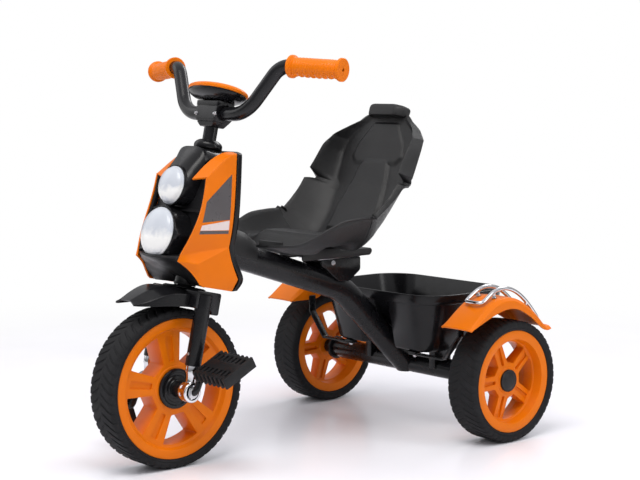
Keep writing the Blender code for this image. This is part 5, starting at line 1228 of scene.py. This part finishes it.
def make_front_fender():
    """Beak with a flat roof, creased shoulders and short skirts."""
    stations = (
        # back from the steering axis, roof, shoulder, skirt, half width
        (-0.1060, 0.1240, 0.1195, 0.1165, 0.0240),
        (-0.1000, 0.1290, 0.1200, 0.1168, 0.0275),
        (-0.0850, 0.1405, 0.1260, 0.1190, 0.0330),
        (-0.0650, 0.1520, 0.1375, 0.1225, 0.0380),
        (-0.0450, 0.1550, 0.1465, 0.1260, 0.0410),
        (-0.0183, 0.1550, 0.1490, 0.1280, 0.0440),
    )
    rows = []
    for y, roof, shoulder, skirt, half in stations:
        section = [(half, skirt), (half, shoulder), (half * 0.52, roof), (0, roof + 0.0008)]
        section += [(-a, b) for a, b in section[-2::-1]]
        rows.append([(a, y, b) for a, b in section])
    creases = lengthways(rows, ((1, 0.75), (2, 0.65), (4, 0.65), (5, 0.75)))
    fender = moulded("beak", creased_sheet(rows, creases, NET_CORNERS), STEERING, Vector((0, 0, 1)))
    finish(fender, "steering", "black_gloss_plastic", ("front_fender",), edge=0.0006, sharp=50.0)


def make_fork():
    """Crown with its boss and cover, and both legs."""
    top, skirt, ear = 0.156, 0.128, 0.1215
    profile = rounded([(-0.018, top), (-0.018, skirt), (0.0145, skirt), (0.0155, ear), (0.0285, ear),
                       (0.0285, top)], 0.004, 4)
    crown = new_object("crown_body", extrusion(profile, 'X', -0.060, 0.060), STEERING)
    boss = turned([(0.150, 0.0172), (0.1590, 0.0172), (0.1600, 0.0164)], 'Z', 48)
    carve(crown, STEERING, boss, operation='UNION')
    wheel_gap = block((-0.041, -0.06, 0.05), (0.041, 0.06, 0.142))
    leg_sockets = [rod('Z', 0.10, 0.1508, 0.0128, 48, (sign * LEG_OFFSET, 0, 0)) for _, sign in SIDES]
    column_socket = rod('Z', 0.10, 0.20, COLUMN_RADIUS + SLIDING_FIT, 48)
    carve(crown, STEERING, wheel_gap, *leg_sockets, column_socket)
    finish(crown, "steering", "painted_steel", ("fork_crown",), edge=0.0010, sharp=30.0)
    cover = [(top, 0.0176), (top, 0.0340), (0.1570, 0.0340), (0.1586, 0.0300), (0.1590, 0.0176)]
    piece("crown_cover", ring(cover, 'Z', 64), STEERING, "steering", "black_gloss_plastic", edge=0.0004)
    for side, sign in SIDES:
        make_fork_leg(side, sign)


def make_fork_leg(side, sign):
    """Leg with a rivet on either face, over a plated lug whose eye holds the axle."""
    axis = STEERING @ at(sign * LEG_OFFSET, 0, 0)
    profile = [(0.040, 0.0106), (0.040, 0.0118), (0.0404, 0.0123), (0.0412, 0.0125), (0.1505, 0.0125),
               (0.1505, 0.0106)]
    piece(f"leg_{side}", ring(profile, 'Z', 48), axis, "steering", "painted_steel", (f"fork_leg_{side}",),
          sharp=40.0)
    sides = 40
    rings = []
    for height, radius in ((0.064, 0.0103), (0.0397, 0.0103), (0.0397, 0.0113), (0.0300, 0.0113),
                           (0.0285, 0.0109)):
        rings.append(circle((0, 0, height), 'Z', radius, sides))
    for height, wide, deep in ((0.0250, 0.0100, 0.0096), (0.021, 0.0092, 0.0085), (0.016, 0.0087, 0.0082),
                               (0.008, 0.0085, 0.0090)):
        points = circle((0, 0, height), 'Z', 1.0, sides)
        rings.append([Vector((p.x * wide, p.y * deep, height)) for p in points])
    lug = new_object(f"lug_{side}", skin(rings), axis)
    eye = [(-0.011, AXLE_HOLE), (-0.011, 0.0146), (-0.0096, 0.0158), (0.0096, 0.0160), (0.0106, 0.0154),
           (0.011, 0.0146), (0.011, 0.0118), (0.0075, 0.0108), (0.0075, AXLE_HOLE)]
    carve(lug, axis, ring(facing(eye, sign), 'X', 48), operation='UNION')
    carve(lug, axis, rod('X', -0.02, 0.02, AXLE_HOLE, 48))
    finish(lug, "steering", "chrome", (f"fork_lug_{side}",), edge=0.0004, sharp=35.0)
    where = axis @ at(0, 0, 0.0575)
    head = [(0.0118, 0.0024), (0.0130, 0.0024), (0.0136, 0.0016), (0.0138, 0.0006)]
    for level, towards in (("front", -1), ("back", 1)):
        piece(f"leg_rivet_{level}_{side}", turned(facing(head, towards), 'Y', 20), where, "steering",
              "zinc_steel", sharp=40.0)


def crank_pin(sign):
    """Place of a crank pin, (y, z) from the axle."""
    return Vector((sign * PIN_ARM * math.cos(PIN_ANGLE), sign * PIN_ARM * math.sin(PIN_ANGLE)))


def make_crank():
    """One bent rod with two nuts on either side of the fork."""
    corners = []
    for sign in (-1, 1):
        y, z = crank_pin(sign)
        run = [Vector((sign * x, b, c)) for x, b, c in ((0.1525, y, z), (0.0735, y, z), (0.0735, 0, 0))]
        corners += run if sign < 0 else run[::-1]
    path = filleted(corners, 0.008, 8)
    y, z = crank_pin(1)
    bm = tube(path, round_section(CRANK_RADIUS, 32), Vector((0, -z, y)).normalized())
    piece("crank_rod", bm, FRONT_AXLE, "front_wheel", "painted_steel", ("crank_shaft",), edge=0.0005,
          sharp=40.0)
    for side, sign in SIDES:
        for along, radius, sides in ((0.0668, 0.0092, 32), (0.0686, 0.0080, 6)):
            bm = rod('X', sign * along, sign * (along + 0.0014), radius, sides)
            piece(f"axle_nut_{radius:.4f}_{side}", bm, FRONT_AXLE, "front_wheel", "zinc_steel", edge=0.0003)


def make_pedal(side, sign):
    """Comb of ribs round two rows of slots, and the bore for its pin."""
    y, z = crank_pin(sign)
    tilt = math.radians(27 if sign > 0 else -72)
    where = FRONT_AXLE @ at(sign * 0.0825, y, z) @ tipped(tilt)
    half, top, rib, tooth, ribs = 0.031, 0.0085, 0.0048, 0.0035, 8
    pitch = (0.078 - rib) / (ribs - 1)
    comb = []
    for i in range(ribs):
        start = pitch * i
        comb += [(start, half), (start + rib, half)]
        if i < ribs - 1:
            comb += [(start + rib, half - tooth), (start + pitch, half - tooth)]
    outline = [(sign * a, b) for a, b in comb + [(a, -b) for a, b in comb[::-1]]]
    pedal = new_object(f"pedal_{side}_body", extrusion(rounded(outline, 0.0010, 2), 'Z', -top, top), where)
    slots = []
    for row in (-1, 1):
        for i in range(ribs - 1):
            across = sorted((sign * (pitch * i + rib), sign * pitch * (i + 1)))
            along = sorted((row * 0.0095, row * (half - tooth - 0.0055)))
            slots.append(block((across[0], along[0], -0.02), (across[1], along[1], 0.02)))
    bore = rod('X', sign * -0.01, sign * 0.0704, AXLE_HOLE, 32)
    carve(pedal, where, *slots, bore)
    finish(pedal, f"pedal_{side}_body", "black_nylon", (f"pedal_{side}",), edge=0.0009, sharp=30.0)


# Frame tubes and rear axle

HEAD_LOW, HEAD_HIGH = 0.1645, 0.372
HEAD_RADIUS = 0.0165
COLLAR_BASE = 0.3766
BUSH_BORE = 0.0114


def make_frame():
    """Bent main tube coped to the head and axle tubes, and the head tube with its bushes."""
    across = Vector((1, 0, 0))
    path = filleted([(0, *TUBE_FRONT), (0, *TUBE_BEND), (0, *TUBE_FOOT)], 0.11, 24)
    pipe = new_object("main_pipe", tube(path, round_section(TUBE_RADIUS, 64), across), TRIKE)
    inner = [path[0] + (path[0] - path[1]).normalized() * 0.01] + path[1:-1]
    inner.append(path[-1] + (path[-1] - path[-2]).normalized() * 0.01)
    carve(pipe, TRIKE, tube(inner, round_section(0.0198, 48), across))
    carve(pipe, STEERING, rod('Z', 0, 0.45, 0.0168, 64))
    axle = rod('X', -0.06, 0.06, 0.0178, 64, (0, WHEELBASE, REAR_RADIUS))
    carve(pipe, TRIKE, axle, block((-0.05, 0.46, 0.02), (0.05, 0.62, 0.0860)))
    finish(pipe, "frame", "painted_steel", ("main_tube",), sharp=35.0)
    profile = [(HEAD_LOW, 0.0140), (HEAD_LOW, HEAD_RADIUS), (HEAD_HIGH, HEAD_RADIUS), (HEAD_HIGH, 0.0140)]
    piece("head_pipe", ring(profile, 'Z', 64), STEERING, "frame", "painted_steel", ("head_tube",),
          edge=0.0004)
    for name, base, up in (("lower", HEAD_LOW, 1), ("upper", HEAD_HIGH, -1)):
        face = base - up * SLIDING_FIT
        rim, tail = face - up * 0.004, base + up * 0.016
        profile = [(rim, BUSH_BORE), (rim, 0.0170), (face - up * 0.0030, 0.0175), (face, 0.0175),
                   (face, 0.0137), (tail, 0.0137), (tail, BUSH_BORE)]
        piece(f"bearing_{name}", ring(profile, 'Z', 56), STEERING, "frame", "black_nylon",
              (f"head_bush_{name}",))
    profile = [(0.0, BUSH_BORE), (0.0, 0.0220), (0.0006, 0.0225), (0.0060, 0.0225), (0.0085, 0.0216),
               (0.0112, 0.0193), (0.0130, 0.0165), (0.0140, 0.0144), (0.0140, BUSH_BORE)]
    piece("head_cap", ring(facing(profile, 1, COLLAR_BASE), 'Z', 64), STEERING, "frame",
          "black_gloss_plastic", ("headset_collar",), sharp=40.0)


def make_saddle():
    """Stiffener over the main tube's front, tapering into it."""
    run = Vector((0, math.cos(TUBE_SLOPE), -math.sin(TUBE_SLOPE)))
    up = Vector((0, math.sin(TUBE_SLOPE), math.cos(TUBE_SLOPE)))
    start = Vector((0, 0.108, TUBE_FRONT[1] - 0.058 * math.tan(TUBE_SLOPE)))
    length = 0.052 / math.cos(TUBE_SLOPE)
    inner, wide = 0.0223, 0.0253
    arc = [math.radians(-8 + 196 * k / 24) for k in range(25)]
    rings = []
    for k in range(13):
        share = k / 12
        high = wide + 0.014 * (1 - 0.12 * share - 0.48 * bend(0.55, 1.0, share))
        origin = start + run * (share * length)
        section = [(wide * math.cos(a), (high if math.sin(a) > 0 else wide) * math.sin(a)) for a in arc]
        section += [(inner * math.cos(a), inner * math.sin(a)) for a in arc[::-1]]
        rings.append([origin + Vector((a, 0, 0)) + up * b for a, b in section])
    piece("stiffener", skin(rings), TRIKE, "frame", "black_satin_plastic", ("tube_saddle",), edge=0.0008,
          sharp=35.0)


def make_rear_axle():
    """Axle tube, its bushes and the rod that carries both rear wheels."""
    half = 0.186
    profile = [(-half, 0.0145), (-half, 0.0175), (half, 0.0175), (half, 0.0145)]
    piece("axle_pipe", ring(profile, 'X', 56), REAR_AXLE, "frame", "painted_steel", ("axle_tube",),
          edge=0.0004)
    profile = [(0.1683, 0.0054), (0.1683, 0.0142), (0.1863, 0.0142), (0.1863, 0.0202), (0.1870, 0.0210),
               (0.1918, 0.0210), (0.1923, 0.0204), (0.1943, 0.0135), (0.2117, 0.0120), (0.2117, 0.0054)]
    for side, sign in SIDES:
        piece(f"axle_bearing_{side}", ring(facing(profile, sign), 'X', 56), REAR_AXLE, "frame", "black_nylon",
              (f"axle_bush_{side}",), sharp=35.0)
    profile = [(-0.2395, 0.0042), (-0.2390, 0.005), (0.2390, 0.005), (0.2395, 0.0042)]
    piece("axle_rod", turned(profile, 'X', 40), REAR_AXLE, "frame", "zinc_steel", ("rear_axle",), sharp=40.0)


# Basket, carrier, stays, rear fenders and their rails

BASKET_FLOOR, BASKET_TOP = 0.1385, 0.240
BASKET_LEVELS = (
    # height, inset from the outer skin, band outside it
    (BASKET_FLOOR, 0.006, 0.0), (0.1400, 0.0025, 0.0), (0.1435, 0.0, 0.0), (0.1885, 0.0, 0.0),
    (0.2234, 0.0, 0.0), (0.2240, 0.0, 0.0025), (0.2300, 0.0, 0.0025), (0.2380, 0.0, 0.0),
    (0.2395, 0.0004, 0.0), (BASKET_TOP, 0.0015, 0.0), (BASKET_TOP, 0.0030, 0.0), (0.1885, 0.0030, 0.0),
    (0.1465, 0.0030, 0.0), (0.1430, 0.0050, 0.0), (0.1415, 0.0090, 0.0),
)


def basket_outline(z, inset, band):
    """Rounded plan that narrows downwards, with a pocket in front for the main tube."""
    share = (BASKET_TOP - z) / (BASKET_TOP - BASKET_FLOOR)
    draw = 0.030 * share + inset - band
    front, back, half = 0.430 + draw * 0.75, 0.638 - draw * 0.75, 0.151 - draw
    corner = max(0.02, 0.062 - draw)
    steps = 10
    points = []
    for cx, cy, start in ((half - corner, back - corner, 0), (corner - half, back - corner, 90),
                          (corner - half, front + corner, 180), (half - corner, front + corner, 270)):
        for i in range(steps + 1):
            angle = math.radians(start + 90 * i / steps)
            points.append((cx + corner * math.cos(angle), cy + corner * math.sin(angle)))
    knee, foot = Vector(TUBE_BEND), Vector(TUBE_FOOT)
    slope = (knee - foot).normalized()
    tube_back = foot.x + (knee.x - foot.x) * (z - foot.y) / (knee.y - foot.y) + TUBE_RADIUS / slope.y
    pocket = max(front, tube_back + 0.004 + inset)
    middle = [(-0.042, front), (-0.030, pocket), (0.030, pocket), (0.042, front)]
    third = len(points) // 4 * 3
    return points[:third] + middle + points[third:]


def make_basket():
    """Deep tub with an open top and a band round its rim."""
    rings = []
    for z, inset, band in BASKET_LEVELS:
        rings.append([Vector((x, y, z)) for x, y in basket_outline(z, inset, band)])
    piece("tub", skin(rings), TRIKE, "frame", "black_gloss_plastic", ("basket",), edge=0.0007, sharp=30.0)


def make_carrier():
    """Forked plate under the basket on two feet, which are hollowed for the axle tube."""
    outer, inner, front, back = 0.090, 0.072, 0.452, 0.602
    top, bottom = 0.1382, 0.1352
    outline = [(outer, front), (outer, back), (-outer, back), (-outer, front), (-inner, front),
               (-inner, back - 0.018), (inner, back - 0.018), (inner, front)]
    carrier = new_object("carrier_frame", extrusion(rounded(outline, 0.004, 4), 'Z', bottom, top), TRIKE)
    feet = []
    for sign in (-1, 1):
        low, high = sorted((sign * (inner + 0.002), sign * (outer - 0.002)))
        feet.append(block((low, 0.503, 0.102), (high, 0.543, bottom + 0.001)))
    carve(carrier, TRIKE, *feet, operation='UNION')
    carve(carrier, TRIKE, rod('X', -0.2, 0.2, 0.0178, 56, (0, WHEELBASE, REAR_RADIUS)))
    finish(carrier, "frame", "painted_steel", ("basket_carrier",), edge=0.0006)


def make_stay(side, sign):
    """Bent strip from the carrier to the fender's inner skirt, with a bolt below."""
    low, wall, knee, thick = 0.1316, 0.1902, 0.1525, 0.003
    outline = [(0.072, low), (knee, low), (wall, 0.1765), (wall, 0.206), (wall - thick, 0.206),
               (wall - thick, 0.1778), (knee - 0.0013, low + thick), (0.072, low + thick)]
    bm = skin([[Vector((sign * x, y, z)) for x, z in rounded(outline, 0.0012, 2)] for y in (0.4545, 0.4685)])
    piece(f"stay_strip_{side}", bm, TRIKE, "frame", "painted_steel", (f"fender_stay_{side}",), edge=0.0006)
    where = TRIKE @ at(sign * 0.0815, 0.4615, low)
    bolt_head(f"stay_bolt_{side}", where, 'Z', -1, 0.0034, "frame")


FENDER_LINE = (
    # from the axle: distance back, height, outer skirt, inner skirt
    (-0.1110, 0.2000, 0.0020, 0.0020), (-0.0930, 0.2145, 0.0090, 0.0200), (-0.0730, 0.2290, 0.0150, 0.0380),
    (-0.0530, 0.2400, 0.0190, 0.0400), (-0.0310, 0.2465, 0.0200, 0.0300), (-0.0050, 0.2445, 0.0180, 0.0260),
    (0.0190, 0.2350, 0.0155, 0.0240), (0.0500, 0.2140, 0.0130, 0.0180), (0.0690, 0.1940, 0.0110, 0.0120),
    (0.0780, 0.1875, 0.0080, 0.0080), (0.0840, 0.1890, 0.0060, 0.0060),
)


def make_rear_fender(side, sign):
    """Arched guard with rolled shoulders, a deep inner skirt and a curled tail."""
    middle, half = 0.225, 0.0345
    rows = []
    for i, (y, z, skirt, inner_skirt) in enumerate(FENDER_LINE):
        before, after = FENDER_LINE[max(i - 1, 0)], FENDER_LINE[min(i + 1, len(FENDER_LINE) - 1)]
        run = Vector((0, after[0] - before[0], after[1] - before[1])).normalized()
        up = Vector((0, -run.z, run.y))
        fold = min(0.006, skirt * 0.8)
        section = [(half, -skirt), (half, -fold), (half * 0.84, 0.0), (half * 0.3, 0.0008),
                   (-half * 0.3, 0.0008), (-half * 0.84, 0.0), (-half, -fold), (-half, -inner_skirt)]
        rows.append([Vector((sign * (middle + a), WHEELBASE + y, z)) + up * b for a, b in section])
    creases = lengthways(rows, [(column, 0.45) for column in (1, 2, 5, 6)])
    net = creased_sheet(rows, creases, NET_CORNERS)
    fender = moulded(f"guard_{side}", net, TRIKE, Vector((0, 0, 1)))
    finish(fender, "frame", "orange_plastic", (f"rear_fender_{side}",), edge=0.0006, sharp=50.0)


def fender_top(y):
    """Height of the fender's roof line."""
    line = [(WHEELBASE + a, b) for a, b, *_ in FENDER_LINE]
    for (y0, z0), (y1, z1) in zip(line, line[1:]):
        if y0 <= y <= y1:
            return z0 + (z1 - z0) * (y - y0) / (y1 - y0)
    return line[-1][1]


def make_fender_rail(side, sign):
    """Chromed wire loop on four feet over the fender."""
    run = []
    for i in range(6):
        t = i / 5
        y = 0.458 + 0.130 * t
        run.append((y, fender_top(y) + 0.0075 + 0.0065 * math.sin(math.pi * t)))
    half, middle = 0.0175, 0.2245
    loop = [(middle + half, y, z) for y, z in run]
    (start_y, start_z), (end_y, end_z) = run[0], run[-1]
    loop += [(middle + half * share, end_y + 0.0065, end_z - 0.002) for share in (0.6, -0.6)]
    loop += [(middle - half, y, z) for y, z in run[::-1]]
    loop += [(middle + half * share, start_y - 0.0065, start_z - 0.002) for share in (-0.6, 0.6)]
    points = [Vector((sign * x, y, z)) for x, y, z in loop]
    path = smooth_curve(points, 8, closed=True)
    bm = tube(path, round_section(0.0034, 20), Vector((0.1, 0.2, 1)).normalized(), around=True)
    rail = new_object(f"wire_{side}", bm, TRIKE)
    feet = []
    for x in (middle - half, middle + half):
        for y, z in (run[1], run[-2]):
            base = max(fender_top(y - 0.0026), fender_top(y + 0.0026)) + 0.0003
            profile = [(base, 0.0042), (base + 0.0010, 0.0040), (base + 0.0016, 0.0026), (z, 0.0026)]
            feet.append(turned(profile, 'Z', 24, (sign * x, y, 0)))
    carve(rail, TRIKE, *feet, operation='UNION')
    finish(rail, "frame", "chrome", (f"fender_rail_{side}",), edge=0.0003, sharp=50.0)


make_front_fender()
make_fork()
make_crank()
make_frame()
make_saddle()
make_rear_axle()
make_basket()
make_carrier()
for side, sign in SIDES:
    make_pedal(side, sign)
    make_stay(side, sign)
    make_rear_fender(side, sign)
    make_fender_rail(side, sign)


# Floor, light and camera

WHITE = (1.0, 1.0, 1.0, 1.0)


def area_light(name, place, target, size, power, colour=(1.0, 1.0, 1.0)):
    data = bpy.data.lights.new(name, 'AREA')
    data.shape = 'RECTANGLE'
    data.size, data.size_y = size
    data.energy = power
    data.color = colour
    obj = add_object(name, data)
    obj.location = place
    obj.rotation_euler = (Vector(place) - Vector(target)).to_track_quat('Z', 'Y').to_euler()


def make_world():
    """White to the camera; to the rest a soft fill, strong from above and weak from the sides."""
    world = bpy.data.worlds.new("studio")
    bpy.context.scene.world = world
    world.use_nodes = True
    n = Nodes(world, "Background")
    height = n.add("ShaderNodeSeparateXYZ", {"Vector": n.coordinates["Generated"]}).outputs["Z"]
    n.feed(n.shader.inputs["Color"], (0.97, 0.97, 1.0, 1.0))
    n.feed(n.shader.inputs["Strength"], n.spread(height, 0.20, 0.95, -0.05, 0.75, 'SMOOTHSTEP'))
    white = n.add("ShaderNodeBackground", {"Color": WHITE})
    n.mix(n.seen("Is Transmission Ray"), n.shader.outputs["Background"], white.outputs["Background"],
          "World Output")


def make_floor():
    """Pale glossy sheet that turns to plain white away from the trike."""
    bm = bmesh.new()
    bmesh.ops.create_grid(bm, x_segments=4, y_segments=4, size=8.0)
    floor = add_object("floor", mesh_of("floor", bm))
    made = node_material("floor", (0.93, 0.92, 0.97), 0.16)
    n = Nodes(made)
    n.feed(n.shader.inputs["Roughness"], n.spread(n.noise(3.0, 3.0), 0.20, 0.26))
    reach = n.add("ShaderNodeVectorMath", {0: n.place}, operation='LENGTH').outputs["Value"]
    far = n.spread(reach, 0.0, 1.0, 0.55, 1.8, 'SMOOTHSTEP')
    glow = n.add("ShaderNodeEmission", {"Color": WHITE, "Strength": 1.0})
    n.mix(n.math('MULTIPLY', far, n.seen("Is Glossy Ray")), n.shader.outputs["BSDF"],
          glow.outputs["Emission"], "Material Output")
    floor.data.materials.append(made)


def make_camera():
    """Long lens at the front left, a little above the trike."""
    azimuth, elevation = math.radians(48.9296), math.radians(5.9179)
    back = Vector((math.sin(azimuth) * math.cos(elevation), -math.cos(azimuth) * math.cos(elevation),
                   math.sin(elevation)))
    data = bpy.data.cameras.new("camera")
    data.sensor_width = 36.0
    data.lens = 85.237
    camera = add_object("camera", data)
    camera.location = TRIKE @ Vector((1.9125, -1.3509, 0.5962))
    camera.rotation_euler = back.to_track_quat('Z', 'Y').to_euler()
    bpy.context.scene.camera = camera


make_world()
make_floor()
make_camera()
area_light("key", (0.7, -1.0, 2.5), (0, 0, 0.3), (1.6, 1.2), 44.0, (1.0, 0.98, 0.95))
area_light("left_fill", (-1.9, -1.0, 1.2), (0, 0, 0.3), (1.2, 1.8), 7.0)
area_light("right_strip", (1.9, 0.9, 1.1), (0, 0, 0.3), (0.5, 1.8), 9.0)
area_light("back_rim", (-0.4, 2.0, 1.9), (0, 0, 0.35), (1.6, 0.6), 16.0)
bpy.context.scene.view_settings.view_transform = 'Standard'
